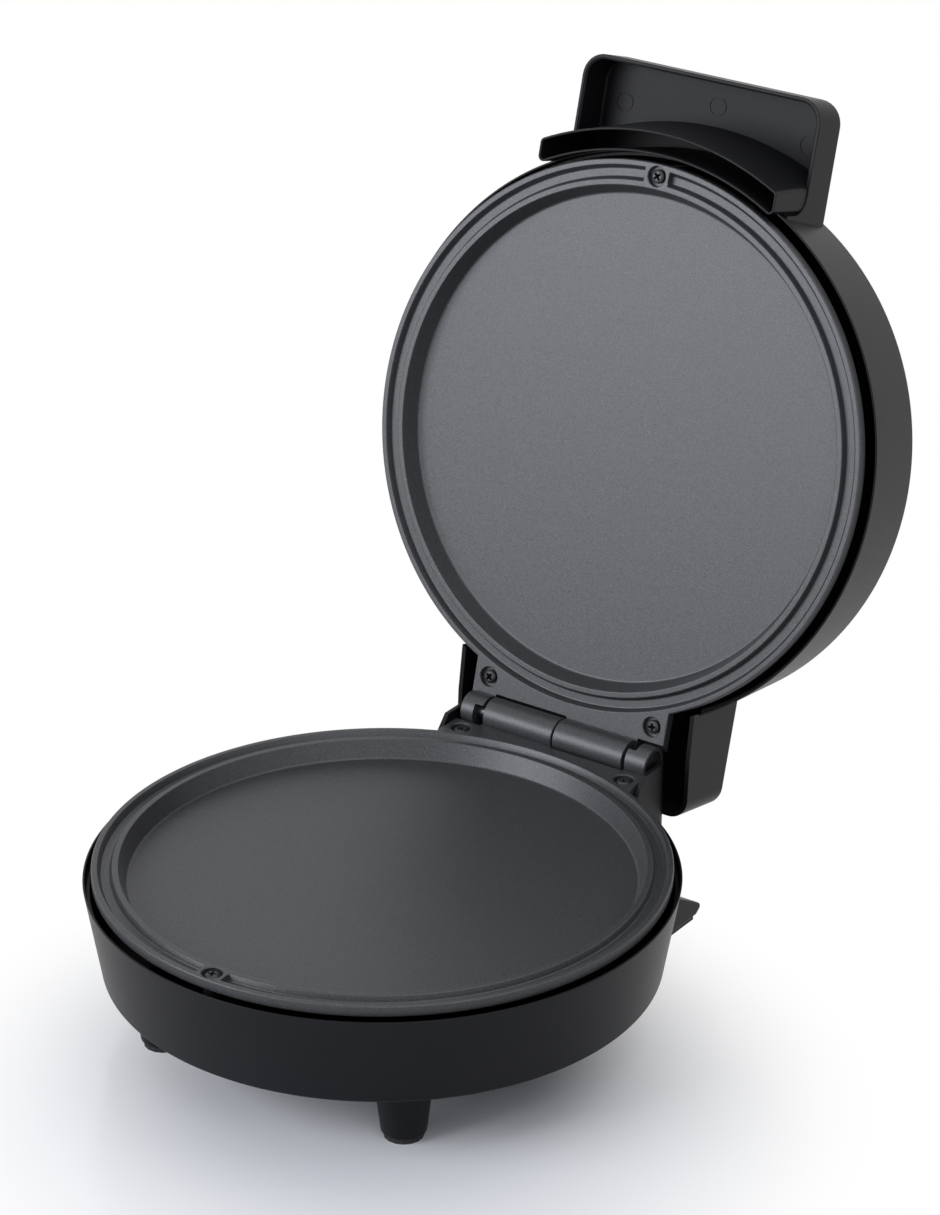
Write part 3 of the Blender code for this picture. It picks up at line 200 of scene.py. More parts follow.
def loft(name: str, grid: np.ndarray, ring: bool = False) -> Mesh:
    """A closed mesh through rings of points, facing outwards.

    Quad (i, j) joins point j of ring i to point j + 1 of ring i + 1. The signed volume, a sixth of the
    sum of a . (b x c) over the triangles, says whether the faces have to be turned round.

    Args:
        name: The mesh's name.
        grid: (rings, points in a ring, 3).
        ring: Whether the last ring joins the first. If not, each end gets a flat face.

    Returns:
        The mesh.
    """
    count, around = grid.shape[:2]
    points = grid.reshape(-1, 3)
    i = np.arange(count if ring else count - 1)[:, None]
    j = np.arange(around)[None, :]
    above, beside = (i + 1) % count, (j + 1) % around
    quads = np.stack(
        [i * around + j, i * around + beside, above * around + beside, above * around + j], axis=-1
    ).reshape(-1, 4)
    caps = [] if ring else [np.arange(around)[::-1], (count - 1) * around + np.arange(around)]
    a, b, c, d = (points[quads[:, k]] for k in range(4))
    volume = (a * np.cross(b, c)).sum() + (a * np.cross(c, d)).sum()
    for cap in caps:
        fan = points[cap]
        volume += (fan[0] * np.cross(fan[1:-1], fan[2:])).sum()
    if volume < 0:
        quads = quads[:, ::-1]
        caps = [cap[::-1] for cap in caps]
    return mesh_of(name, points, quads, caps)


def revolve(
    name: str,
    profile: np.ndarray,
    angles: np.ndarray | None = None,
    centre: Triple = (0, 0, 0),
    axis: Axis = Axis.Z,
    ring: bool = False,
) -> Mesh:
    """A mesh turned about an axis: (r cos a, r sin a, h) for each profile point (r, h) and angle a.

    Args:
        name: The mesh's name.
        profile: (radius, height) points, with no radius of 0: a flat face closes each end.
        angles: Angles in radians, in order round a full turn.
        centre: Where the axis passes.
        axis: The axis turned about.
        ring: Whether the profile is a closed loop round a ring.

    Returns:
        The mesh.
    """
    turn = even_angles() if angles is None else angles
    radius, height = profile[:, :1], profile[:, 1:]
    grid = np.stack(
        [radius * np.cos(turn), radius * np.sin(turn), np.broadcast_to(height, (len(profile), len(turn)))],
        axis=-1,
    )
    return loft(name, grid[..., list(axis.value)] + np.asarray(centre), ring)


def slab(name: str, outline: np.ndarray, levels: Sequence[Pair], axis: Axis = Axis.Z) -> Mesh:
    """A mesh of an outline pushed along an axis, drawn in at its ends to round their edges.

    At level (h, inset) each outline point moves by inset towards the inside, along the sum of the
    normals of the two sides that meet there over one plus their dot product.

    Args:
        name: The mesh's name.
        outline: (u, v) points.
        levels: (height, inset) pairs from one end to the other.
        axis: The axis pushed along.

    Returns:
        The mesh.
    """
    along = np.roll(outline, -1, axis=0) - outline
    along /= np.linalg.norm(along, axis=1, keepdims=True)
    normal = np.stack([-along[:, 1], along[:, 0]], axis=1)
    u, v = outline[:, 0], outline[:, 1]
    turned = (u * np.roll(v, -1) - np.roll(u, -1) * v).sum() < 0
    normal = -normal if turned else normal
    before = np.roll(normal, 1, axis=0)
    inward = (normal + before) / (1 + (normal * before).sum(1, keepdims=True))
    heights, insets = np.asarray(levels, float).T
    flat = outline[None] + insets[:, None, None] * inward[None]
    tall = np.broadcast_to(heights[:, None, None], (*flat.shape[:2], 1))
    return loft(name, np.concatenate([flat, tall], axis=-1)[..., list(axis.value)])


def low_end(low: float, edge: float) -> list[Pair]:
    """Levels that round a low end: height low + edge (1 - cos a), inset edge (1 - sin a)."""
    angle = np.linspace(0, math.pi / 2, END_STEPS + 1)
    return list(zip(low + edge * (1 - np.cos(angle)), edge * (1 - np.sin(angle))))


def high_end(high: float, edge: float) -> list[Pair]:
    """Levels that round a high end: a low end's, turned over."""
    return [(-height, inset) for height, inset in low_end(-high, edge)][::-1]


def round_ends(low: float, high: float, edge: float) -> list[Pair]:
    """Levels of a slab or rod whose two ends have edges rounded to this radius."""
    return low_end(low, edge) + high_end(high, edge)


def raised(plan: np.ndarray, height: float) -> np.ndarray:
    """A plan's points lifted to a height."""
    return np.column_stack([plan, np.full(len(plan), height)])


def box_outline(half: float, root: float, end: float, corner: float) -> np.ndarray:
    """A box from above, with square corners at its root and round ones at its end."""
    corners = [(-half, root, 0), (half, root, 0), (half, end, corner), (-half, end, corner)]
    return corner_path(corners, CORNER_STEPS)


def rod(
    name: str,
    radius: float,
    low: float,
    high: float,
    centre: Triple = (0, 0, 0),
    axis: Axis = Axis.Z,
    edge: float = 0.0,
    steps: int = SMALL_STEPS,
) -> Mesh:
    """A round rod along an axis, its end edges rounded where edge is above 0.

    Args:
        name: The mesh's name.
        radius: Its radius.
        low: Where it starts on the axis.
        high: Where it ends.
        centre: Where the axis passes.
        axis: The axis it runs along.
        edge: Radius of the end edges.
        steps: Sides round it.

    Returns:
        The mesh.
    """
    levels = round_ends(low, high, edge) if edge > 0 else [(low, 0.0), (high, 0.0)]
    profile = np.array([(radius - inset, height) for height, inset in levels])
    return revolve(name, profile, even_angles(steps), centre, axis)


def block(name: str, low: Triple, high: Triple) -> Mesh:
    """A straight-edged cutter between two corners."""
    outline = np.array([(low[0], low[1]), (high[0], low[1]), (high[0], high[1]), (low[0], high[1])])
    return slab(name, outline, [(low[2], 0.0), (high[2], 0.0)])


def piece_of(name: str, mesh: Mesh) -> bpy.types.Object:
    """An object of this mesh, at the origin.

    Args:
        name: Its name.
        mesh: Its mesh.

    Returns:
        The object.
    """
    obj = bpy.data.objects.new(name, mesh)
    bpy.context.scene.collection.objects.link(obj)
    return obj


def combined(name: str, mesh: Mesh, stages: Sequence[Stage]) -> Mesh:
    """Joins tool meshes to a mesh or cuts them from it, in order.

    Args:
        name: The result's name.
        mesh: The mesh to start from.
        stages: (operation, tool) pairs.

    Returns:
        The settled mesh.
    """
    body = piece_of(name, mesh)
    tools = [piece_of(tool.name, tool) for _, tool in stages]
    for (operation, _), tool in zip(stages, tools):
        modifier = body.modifiers.new(tool.name, "BOOLEAN")
        modifier.operation = operation.value
        modifier.solver = "MANIFOLD"
        modifier.object = tool
    bpy.context.view_layer.update()
    graph = bpy.context.evaluated_depsgraph_get()
    settled = bpy.data.meshes.new_from_object(body.evaluated_get(graph), depsgraph=graph)
    for obj in (*tools, body):
        bpy.data.objects.remove(obj, do_unlink=True)
    settled.name = name
    return settled


def joins(*meshes: Mesh) -> list[Stage]:
    """Stages that join each of these meshes."""
    return [(Operation.JOIN, mesh) for mesh in meshes]


def cuts(*meshes: Mesh) -> list[Stage]:
    """Stages that cut each of these meshes away."""
    return [(Operation.CUT, mesh) for mesh in meshes]


# Finishes.


class Nodes:
    """Adds nodes to one material and links them."""

    def __init__(self, material: bpy.types.Material) -> None:
        """Starts from the material's own tree and its Principled shader.

        Args:
            material: The material.
        """
        material.use_nodes = True
        self.tree = material.node_tree
        self.shader = self.tree.nodes["Principled BSDF"]
        self.place = self.add("ShaderNodeTexCoord").outputs["Object"]

    def add(self, kind: str, **values: object) -> bpy.types.Node:
        """A node of this kind, with properties and inputs set by name.

        Args:
            kind: Blender's name for the node.
            **values: Properties, or inputs as their names with underscores for spaces.

        Returns:
            The node.
        """
        node = self.tree.nodes.new(kind)
        for key, value in values.items():
            if hasattr(node, key):
                setattr(node, key, value)
            elif isinstance(value, Socket):
                self.tree.links.new(value, node.inputs[key.replace("_", " ")])
            else:
                node.inputs[key.replace("_", " ")].default_value = value
        return node

    def noise(
        self, scale: float, detail: float, roughness: float = 0.5, place: Socket | None = None
    ) -> Socket:
        """Values of a noise.

        Args:
            scale: Features in a metre.
            detail: Octaves of finer noise in it.
            roughness: How strong the finer noise is.
            place: Where it is read. Object space if not given.

        Returns:
            The values, from 0 to 1.
        """
        read = self.place if place is None else place
        made = self.add(
            "ShaderNodeTexNoise", Vector=read, Scale=scale, Detail=detail, Roughness=roughness
        )
        return made.outputs["Fac"]

    def ranged(self, value: Socket, low: float, high: float, first: float, last: float) -> Socket:
        """Value carried from the range low to high into the range first to last, smoothly."""
        made = self.add(
            "ShaderNodeMapRange", interpolation_type="SMOOTHSTEP", Value=value,
            From_Min=low, From_Max=high, To_Min=first, To_Max=last,
        )
        return made.outputs["Result"]

    def mixed(self, share: Socket, first: Triple | Socket, last: Triple) -> Socket:
        """A colour between two others, by this share.

        Args:
            share: 0 for the first, 1 for the last.
            first: The first colour, or a value that gives it.
            last: The last colour.

        Returns:
            The colour.
        """
        made = self.add("ShaderNodeMix", data_type="RGBA")
        self.tree.links.new(share, made.inputs[0])
        for index, colour in ((6, first), (7, last)):
            if isinstance(colour, Socket):
                self.tree.links.new(colour, made.inputs[index])
            else:
                made.inputs[index].default_value = (*colour, 1.0)
        return made.outputs[2]

    def multiplied(self, first: Socket, last: Socket) -> Socket:
        """The product of two values.

        Args:
            first: One value.
            last: The other.

        Returns:
            The product.
        """
        made = self.add("ShaderNodeMath", operation="MULTIPLY")
        for index, value in enumerate((first, last)):
            self.tree.links.new(value, made.inputs[index])
        return made.outputs[0]

    def bump(self, height: Socket, distance: float, strength: float) -> None:
        """Raises the surface by up to distance where height is 1, and gives that to the shader."""
        made = self.add("ShaderNodeBump", Height=height, Distance=distance, Strength=strength)
        self.tree.links.new(made.outputs["Normal"], self.shader.inputs["Normal"])

    def give(self, **sockets: Socket) -> None:
        """Links values to the shader's inputs, named with underscores for spaces."""
        for key, socket in sockets.items():
            self.tree.links.new(socket, self.shader.inputs[key.replace("_", " ")])


@dataclass(frozen=True)
class Finish:
    """A finish with a broad drift of tone and a fine texture.

    Attributes:
        name: The material's name, which is also the record's slot.
        colour: Its colour.
        light: The colour it drifts to.
        roughness: Its roughness.
        metallic: 1 for bare metal.
        grain: Features of the fine texture in a metre.
        relief: Height of the fine texture.
        strength: How strongly the relief shows.
        drift: Change of roughness over the fine texture.
        specular: Strength of the plain reflection, where 0.5 is common plastic.
    """

    name: str
    colour: Triple
    light: Triple
    roughness: float
    metallic: float = 0.0
    grain: float = 2200.0
    relief: float = 0.00003
    strength: float = 0.35
    drift: float = 0.06
    specular: float = 0.5

    def material(self) -> bpy.types.Material:
        """The finish's material, made once.

        Returns:
            The material.
        """
        made = bpy.data.materials.get(f"finish_{self.name}")
        if made is None:
            made = bpy.data.materials.new(f"finish_{self.name}")
            nodes = Nodes(made)
            nodes.shader.inputs["Metallic"].default_value = self.metallic
            nodes.shader.inputs["Specular IOR Level"].default_value = self.specular
            self.pattern(nodes)
        return made

    def surface(
        self, nodes: Nodes, colour: Socket, fine: Socket, spread: Pair, height: Socket
    ) -> None:
        """Gives the shader a colour, a roughness that drifts with a fine texture, and relief.

        Args:
            nodes: The material's nodes.
            colour: The colour.
            fine: The texture that the roughness follows.
            spread: The two values of that texture between which the roughness drifts.
            height: The texture that raises the surface.
        """
        rough = nodes.ranged(fine, *spread, self.roughness - self.drift, self.roughness + self.drift)
        nodes.give(Base_Color=colour, Roughness=rough)
        nodes.bump(height, self.relief, self.strength)

    def pattern(self, nodes: Nodes) -> None:
        """Broad clouds change the colour, and a fine noise changes roughness and height.

        Args:
            nodes: The material's nodes.
        """
        cloud = nodes.noise(CLOUD_SCALE, CLOUD_DETAIL)
        fine = nodes.noise(self.grain, FINE_DETAIL, FINE_ROUGHNESS)
        colour = nodes.mixed(nodes.ranged(cloud, *MIDDLE, 0.0, 1.0), self.colour, self.light)
        self.surface(nodes, colour, fine, WIDE_MIDDLE, fine)


@dataclass(frozen=True)
class CastCoating(Finish):
    """Sprayed non-stick coating on a cast plate: charcoal with a salt-and-pepper grain.

    Attributes:
        coarse_roughness: How strong the finer noise in the coarse grain is.
        fine_factor: Features of the fine grain for each one of the coarse grain.
        grain_range: The grain's values between which its colour drifts.
        fleck: Colour of the pale flecks.
        fleck_scale: Flecks in a metre.
        fleck_detail: Octaves of finer noise in a fleck.
        fleck_range: The values between which a fleck appears.
        fleck_share: How much of a fleck's colour shows at most.
    """

    coarse_roughness: float = 0.65
    fine_factor: float = 2.3
    grain_range: Pair = (0.14, 0.36)
    fleck: Triple = (0.17, 0.172, 0.18)
    fleck_scale: float = 2600.0
    fleck_detail: float = 1.0
    fleck_range: Pair = (0.58, 0.74)
    fleck_share: float = 0.5

    def pattern(self, nodes: Nodes) -> None:
        """The product of two noises mixes dark and charcoal and raises the surface; a third adds flecks.

        Args:
            nodes: The material's nodes.
        """
        coarse = nodes.noise(self.grain, CLOUD_DETAIL, self.coarse_roughness)
        fine = nodes.noise(self.grain * self.fine_factor, FINE_DETAIL, FINE_ROUGHNESS)
        flecks = nodes.noise(self.fleck_scale, self.fleck_detail)
        grain = nodes.multiplied(coarse, fine)
        colour = nodes.mixed(nodes.ranged(grain, *self.grain_range, 0.0, 1.0), self.colour, self.light)
        shown = nodes.ranged(flecks, *self.fleck_range, 0.0, self.fleck_share)
        self.surface(nodes, nodes.mixed(shown, colour, self.fleck), coarse, MIDDLE, grain)


@dataclass(frozen=True)
class DrawnMetal(Finish):
    """Metal with fine drawn lines along one axis.

    Attributes:
        stretch: How much the grain is drawn out along each axis, as a factor on its frequency.
    """

    stretch: Triple = (0.05, 1.0, 1.0)

    def pattern(self, nodes: Nodes) -> None:
        """A noise whose frequency is low along the drawn axis changes tone, roughness and height.

        Args:
            nodes: The material's nodes.
        """
        mapping = nodes.add("ShaderNodeMapping", Vector=nodes.place, Scale=self.stretch)
        line = nodes.noise(self.grain, CLOUD_DETAIL, place=mapping.outputs["Vector"])
        colour = nodes.mixed(nodes.ranged(line, *MIDDLE, 0.0, 1.0), self.colour, self.light)
        self.surface(nodes, colour, line, MIDDLE, line)


@dataclass(frozen=True)
class Lens(Finish):
    """Clear coloured plastic over a lamp.

    Attributes:
        transmission: Share of the light that passes.
        index: Index of refraction.
    """

    transmission: float = 0.6
    index: float = 1.49

    def pattern(self, nodes: Nodes) -> None:
        """The plain pattern, with the shader's own sockets set for clear plastic.

        Args:
            nodes: The material's nodes.
        """
        super().pattern(nodes)
        nodes.shader.inputs["Transmission Weight"].default_value = self.transmission
        nodes.shader.inputs["IOR"].default_value = self.index


BLACK_PLASTIC = Finish(
    "black_plastic", (0.0074, 0.0077, 0.0092), (0.0094, 0.0098, 0.0116), 0.40, specular=0.12
)
PLATE_COATING = CastCoating(
    "plate_coating", (0.028, 0.029, 0.032), (0.076, 0.078, 0.084), 0.42, metallic=0.5, grain=1900.0,
    relief=0.00008, strength=0.45,
)
BLACK_STEEL = Finish("black_steel", (0.020, 0.0205, 0.023), (0.034, 0.035, 0.038), 0.38, metallic=0.35)
# Steel for the hinge pin, the shield nuts and the fuse. Its colour is darker than bare steel: painted
# shade, so that the pin reads dark where it shows in the gaps between the knuckles.
PIN_STEEL_WITH_PAINTED_SHADE = DrawnMetal("pin_steel", (0.10, 0.10, 0.105), (0.17, 0.17, 0.18), 0.4, metallic=1.0)
SHIELD_STEEL = DrawnMetal("shield_steel", (0.55, 0.55, 0.54), (0.68, 0.68, 0.67), 0.38, metallic=1.0)
ELEMENT_STEEL = Finish(
    "element_steel", (0.20, 0.17, 0.15), (0.36, 0.33, 0.30), 0.5, metallic=0.9, drift=0.12
)
RUBBER = Finish("black_rubber", (0.010, 0.010, 0.010), (0.016, 0.016, 0.016), 0.8, relief=0.00005)
CERAMIC = Finish("white_ceramic", (0.70, 0.68, 0.63), (0.82, 0.80, 0.76), 0.45)
RED_LENS = Lens("red_lens", (0.62, 0.03, 0.02), (0.75, 0.06, 0.04), 0.12, drift=0.03, strength=0.05)
GREEN_LENS = Lens("green_lens", (0.04, 0.46, 0.10), (0.07, 0.58, 0.15), 0.12, drift=0.03, strength=0.05)
BULB_GLASS = Lens("bulb_glass", (0.80, 0.72, 0.62), (0.9, 0.84, 0.76), 0.08, drift=0.02, strength=0.04)


# Where the two halves stand.


@dataclass(frozen=True)
class Layout:
    """Where the two halves stand, and the sizes that both share.

    Attributes:
        face_height: Lower plate's face above the table.
        plate_gap: Between the two faces with the lid shut.
        plate_radius: The plates' radius.
        hinge_offset: Hinge axis behind the plate's edge.
        wall: Thickness of the housings.
        fit_gap: Between pieces that rest on each other.
    """

    face_height: float = 0.093
    plate_gap: float = 0.006
    plate_radius: float = 0.150
    hinge_offset: float = 0.0147
    wall: float = 0.0025
    fit_gap: float = 0.0003

    @property
    def hinge_y(self) -> float:
        """Hinge axis behind the plates' centre."""
        return self.plate_radius + self.hinge_offset

    @property
    def hinge_rise(self) -> float:
        """Hinge axis above the lower plate's face."""
        return self.plate_gap / 2

    @property
    def centre_y(self) -> float:
        """The plates' centre in the row's frame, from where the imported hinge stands."""
        return frame["joints"][0]["pos_m"][1] - self.hinge_y

    @property
    def centre(self) -> Vector:
        """The plates' centre on the floor."""
        return Vector((0, self.centre_y, 0))

    @property
    def open_angle(self) -> float:
        """How far the lid stands open, which is the joint's whole range."""
        return math.radians(max(frame["joints"][0]["range_deg"]))

    def base(self) -> Matrix:
        """From the lower plate's face to the row's frame."""
        return Matrix.Translation(self.centre + Vector((0, 0, self.face_height)))

    def lid(self) -> Matrix:
        """From the shut lid's face to the row's frame, with the lid open.

        Returns:
            The placing.
        """
        hinge = Matrix.Translation((0, self.hinge_y, self.hinge_rise))
        face = Matrix.Translation((0, -self.hinge_y, self.plate_gap - self.hinge_rise))
        return self.base() @ hinge @ Matrix.Rotation(-self.open_angle, 4, "X") @ face

    def upper_casting(self) -> Matrix:
        """From the upper plate's own face, turned over, to the row's frame."""
        return self.lid() @ Matrix.Rotation(math.pi, 4, "Y")


LAYOUT = Layout()


def dress(
    name: str,
    mesh: Mesh,
    finish: Finish,
    body: Body,
    place: Matrix,
    replaced: Sequence[str] = (),
    sharp: float = 30.0,
) -> bpy.types.Object:
    """Places a mesh, shades it, gives it its finish and lets it ride.

    Args:
        name: The piece's name.
        mesh: Its mesh, in its own half's frame.
        finish: Its finish.
        body: The body it rides on.
        place: From that frame to the row's.
        replaced: CAD nodes that it stands for.
        sharp: Edges that turn by more than this many degrees stay crisp.

    Returns:
        The piece.
    """
    mesh.transform(place)
    mesh.materials.clear()
    mesh.materials.append(finish.material())
    mesh.polygons.foreach_set("use_smooth", [True] * len(mesh.polygons))
    mesh.set_sharp_from_angle(angle=math.radians(sharp))
    piece = piece_of(name, mesh)
    weighted = piece.modifiers.new("even_shading", "WEIGHTED_NORMAL")
    weighted.mode = "FACE_AREA_WITH_ANGLE"
    weighted.keep_sharp = True
    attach(piece, body.value)
    if replaced:
        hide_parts(*replaced)
    log.info("%s: %d faces, on %s", name, len(mesh.polygons), body.value)
    return piece


# The two plates.


@dataclass
class PlateCasting:
    """A die-cast plate: cooking recess, ridge, channel, land, rear tab, barrel and ear."""

    land_width: float = 0.0031
    land_edge: float = 0.0009
    channel_width: float = 0.0078
    channel_depth: float = 0.0035
    channel_outer_run: float = 0.0018
    channel_inner_run: float = 0.0014
    channel_fillet: float = 0.0009
    ridge_width: float = 0.003
    ridge_edge: float = 0.0006
    wall_run: float = 0.0041
    recess_depth: float = 0.010
    recess_fillet: float = 0.0014
    flange: float = 0.006
    cook_thickness: float = 0.004
    under_fillet: float = 0.0015
    boss_width: float = 0.0147
    boss_edge: float = 0.0005
    stud_radius: float = 0.003
    stud_end: float = -0.0263
    middle_radius: float = 0.012
    knuckle_radius: float = 0.0095
    knuckle_clearance: float = 0.0015
    knuckle_edge: float = 0.0005
    barrel_length: float = 0.045
    barrel_spacing: float = 0.0009
    ear_gap: float = 0.0018
    ear_width: float = 0.0132
    ear_notch: float = 0.005
    ear_notch_ahead: float = 0.005
    ear_wall: float = 0.002
    ear_depth: float = 0.003
    tab_margin: float = 0.002
    tab_edge: float = 0.0005
    bore_radius: float = 0.0043
    head_bore: float = 0.00545
    head_depth: float = 0.003
    head_chamfer: float = 0.0004
    shank_bore: float = 0.0023
    rear_screw_inset: float = 0.009
    rear_screw_forward: float = 0.0187
    close_before: float = 0.004
    close_after: float = 0.008
    close_steps: int = 16

    @property
    def channel_outer(self) -> float:
        """Radius of the channel's outer edge."""
        return LAYOUT.plate_radius - self.land_width

    @property
    def channel_inner(self) -> float:
        """Radius of the channel's inner edge."""
        return self.channel_outer - self.channel_width

    @property
    def ridge_inner(self) -> float:
        """Radius of the top of the recess's wall."""
        return self.channel_inner - self.ridge_width

    @property
    def cook_radius(self) -> float:
        """Radius of the recess's floor."""
        return self.ridge_inner - self.wall_run

    @property
    def ear_start(self) -> float:
        """Inner end of the ear."""
        return self.barrel_length + self.ear_gap

    @property
    def tab_half_width(self) -> float:
        """Half the width of the rear tab."""
        return self.ear_start + self.ear_width + self.tab_margin

    @property
    def screw_places(self) -> dict[str, Pair]:
        """Where the three screws go, by side.

        Returns:
            Each place on the face.
        """
        rear_x = self.tab_half_width - self.rear_screw_inset
        rear_y = LAYOUT.hinge_y - self.rear_screw_forward
        return {
            "front": (0.0, -(self.channel_inner + self.channel_outer) / 2),
            "left": (-rear_x, rear_y),
            "right": (rear_x, rear_y),
        }

    def profile(self) -> np.ndarray:
        """Half section from the stud out under the flange and back over the face.

        Returns:
            The profile as (radius, height).
        """
        outer = self.cook_radius + self.cook_thickness
        under = -self.recess_depth - self.cook_thickness
        corners = [
            (self.stud_radius / 2, self.stud_end, 0),
            (self.stud_radius, self.stud_end, self.boss_edge),
            (self.stud_radius, under, 0),
            (outer, under, self.under_fillet),
            (outer + self.under_fillet, -self.flange, self.under_fillet / 2),
            (LAYOUT.plate_radius, -self.flange, self.land_edge),
            (LAYOUT.plate_radius, 0, self.land_edge),
            (self.channel_outer, 0, self.boss_edge),
            (self.channel_outer - self.channel_outer_run, -self.channel_depth, self.channel_fillet),
            (self.channel_inner + self.channel_inner_run, -self.channel_depth, self.channel_fillet),
            (self.channel_inner, 0, self.ridge_edge),
            (self.ridge_inner, 0, self.ridge_edge),
            (self.cook_radius, -self.recess_depth, self.recess_fillet),
            (self.middle_radius, -self.recess_depth, 0),
        ]
        return corner_path(corners)

    def angles(self) -> np.ndarray:
        """Angles round the plate, closer together at the two ends of the channel.

        Returns:
            The angles in radians, in order.
        """
        middle = (self.channel_inner + self.channel_outer) / 2
        edge = math.asin(self.boss_width / 2 / middle)
        close = edge + np.linspace(-self.close_before, self.close_after, self.close_steps)
        front = DOWN + math.tau
        return np.unique(np.concatenate([even_angles(), front + close, front - close]))

    def round_plate(self) -> Mesh:
        """The round part as a grid of profile by angle.

        Height is the profile's, but inside the channel it is multiplied by a smooth step of |x| over the
        front boss's edge, so that the channel ends there.

        Returns:
            The mesh.
        """
        profile = self.profile()
        turn = self.angles()
        radius, height = profile[:, :1], profile[:, 1:]
        x, y = radius * np.cos(turn), radius * np.sin(turn)
        channel = (radius > self.channel_inner - self.ridge_edge) & (height <= 0)
        channel &= radius < self.channel_outer + self.boss_edge
        channel &= height > -self.flange / 2 - self.channel_depth / 2
        channel &= np.arange(len(profile))[:, None] > np.argmax(profile[:, 0])
        share = np.clip((np.abs(x) - self.boss_width / 2) / self.boss_edge, 0, 1)
        share = np.where(y < 0, share * share * (3 - 2 * share), 1)
        z = np.where(channel, height * share, height)
        return loft("plate_round", np.stack([x, y, z], axis=-1))

    def on_axis(self, name: str, radius: float, low: float, high: float, edge: float = 0.0) -> Mesh:
        """A rod on the hinge axis, in the plate's own frame."""
        centre = (0, LAYOUT.hinge_y, LAYOUT.hinge_rise)
        return rod(name, radius, low, high, centre, Axis.X, edge, KNUCKLE_STEPS)

    def tab(self) -> Mesh:
        """The rear tab, cleared for the other plate's knuckles.

        Returns:
            The mesh.
        """
        radius = LAYOUT.plate_radius - self.land_width / 2
        half = math.asin(self.tab_half_width / radius)
        front = arc((0, 0), radius, math.pi / 2 - half, math.pi / 2 + half, TAB_STEPS)
        ends = [(-self.tab_half_width, LAYOUT.hinge_y), (self.tab_half_width, LAYOUT.hinge_y)]
        outline = np.concatenate([front, ends])
        plain = slab("tab", outline, round_ends(-self.flange, 0, self.tab_edge))
        clearing = self.knuckle_radius + self.knuckle_clearance
        half_spacing = self.barrel_spacing / 2
        outer = self.tab_half_width + OVERRUN
        return combined("tab", plain, cuts(
            self.on_axis("clear_barrel", clearing, 0, self.ear_start - half_spacing),
            self.on_axis("clear_ear", clearing, -outer, -self.barrel_length - self.ear_gap / 2),
        ))

    def ear(self) -> Mesh:
        """The short knuckle at the tab's end, notched beside the long one.

        Returns:
            The mesh.
        """
        clearing = self.knuckle_radius + self.knuckle_clearance
        end = self.ear_start + self.ear_width
        notch = block(
            "notch",
            (self.ear_start - OVERRUN, LAYOUT.hinge_y - self.ear_notch_ahead, LAYOUT.hinge_rise - clearing),
            (self.ear_start + self.ear_notch, LAYOUT.hinge_y + clearing, LAYOUT.hinge_rise + clearing),
        )
        plain = self.on_axis("ear", self.knuckle_radius, self.ear_start, end, self.knuckle_edge)
        return combined("ear", plain, cuts(notch))

    def screw_bore(self, place: Pair) -> Mesh:
        """A stepped cutter for one screw, flared at the face.

        Args:
            place: Where the screw goes.

        Returns:
            The cutter.
        """
        corners = [
            (self.shank_bore, -self.flange - OVERRUN, 0),
            (self.shank_bore, -self.head_depth, 0),
            (self.head_bore, -self.head_depth, self.head_chamfer / 2),
            (self.head_bore, -self.head_chamfer, 0),
            (self.head_bore + self.head_chamfer, 0, 0),
            (self.head_bore + self.head_chamfer, OVERRUN, 0),
        ]
        profile = corner_path(corners, FLARE_STEPS)
        return revolve("screw_bore", profile, even_angles(SMALL_STEPS), (*place, 0))

    def mesh(self) -> Mesh:
        """The whole casting.

        Returns:
            The mesh.
        """
        end = self.ear_start + self.ear_width
        outer = self.tab_half_width + OVERRUN
        recess = self.knuckle_radius - self.ear_wall
        barrel = self.on_axis(
            "barrel", self.knuckle_radius, -self.barrel_length, -self.barrel_spacing / 2, self.knuckle_edge
        )
        return combined("casting", self.round_plate(), [
            *joins(self.tab(), barrel, self.ear()),
            *cuts(
                self.on_axis("ear_recess", recess, end - self.ear_depth, outer),
                self.on_axis("pin_bore", self.bore_radius, -outer, outer),
                *(self.screw_bore(place) for place in self.screw_places.values()),
            ),
        ])

    def build(self) -> None:
        """Both castings, from one mesh."""
        lower = self.mesh()
        upper = lower.copy()
        dress("lower_plate_casting", lower, PLATE_COATING, Body.BASE, LAYOUT.base(), ["lower_plate"])
        dress(
            "upper_plate_casting", upper, PLATE_COATING, Body.LID, LAYOUT.upper_casting(), ["upper_plate"]
        )


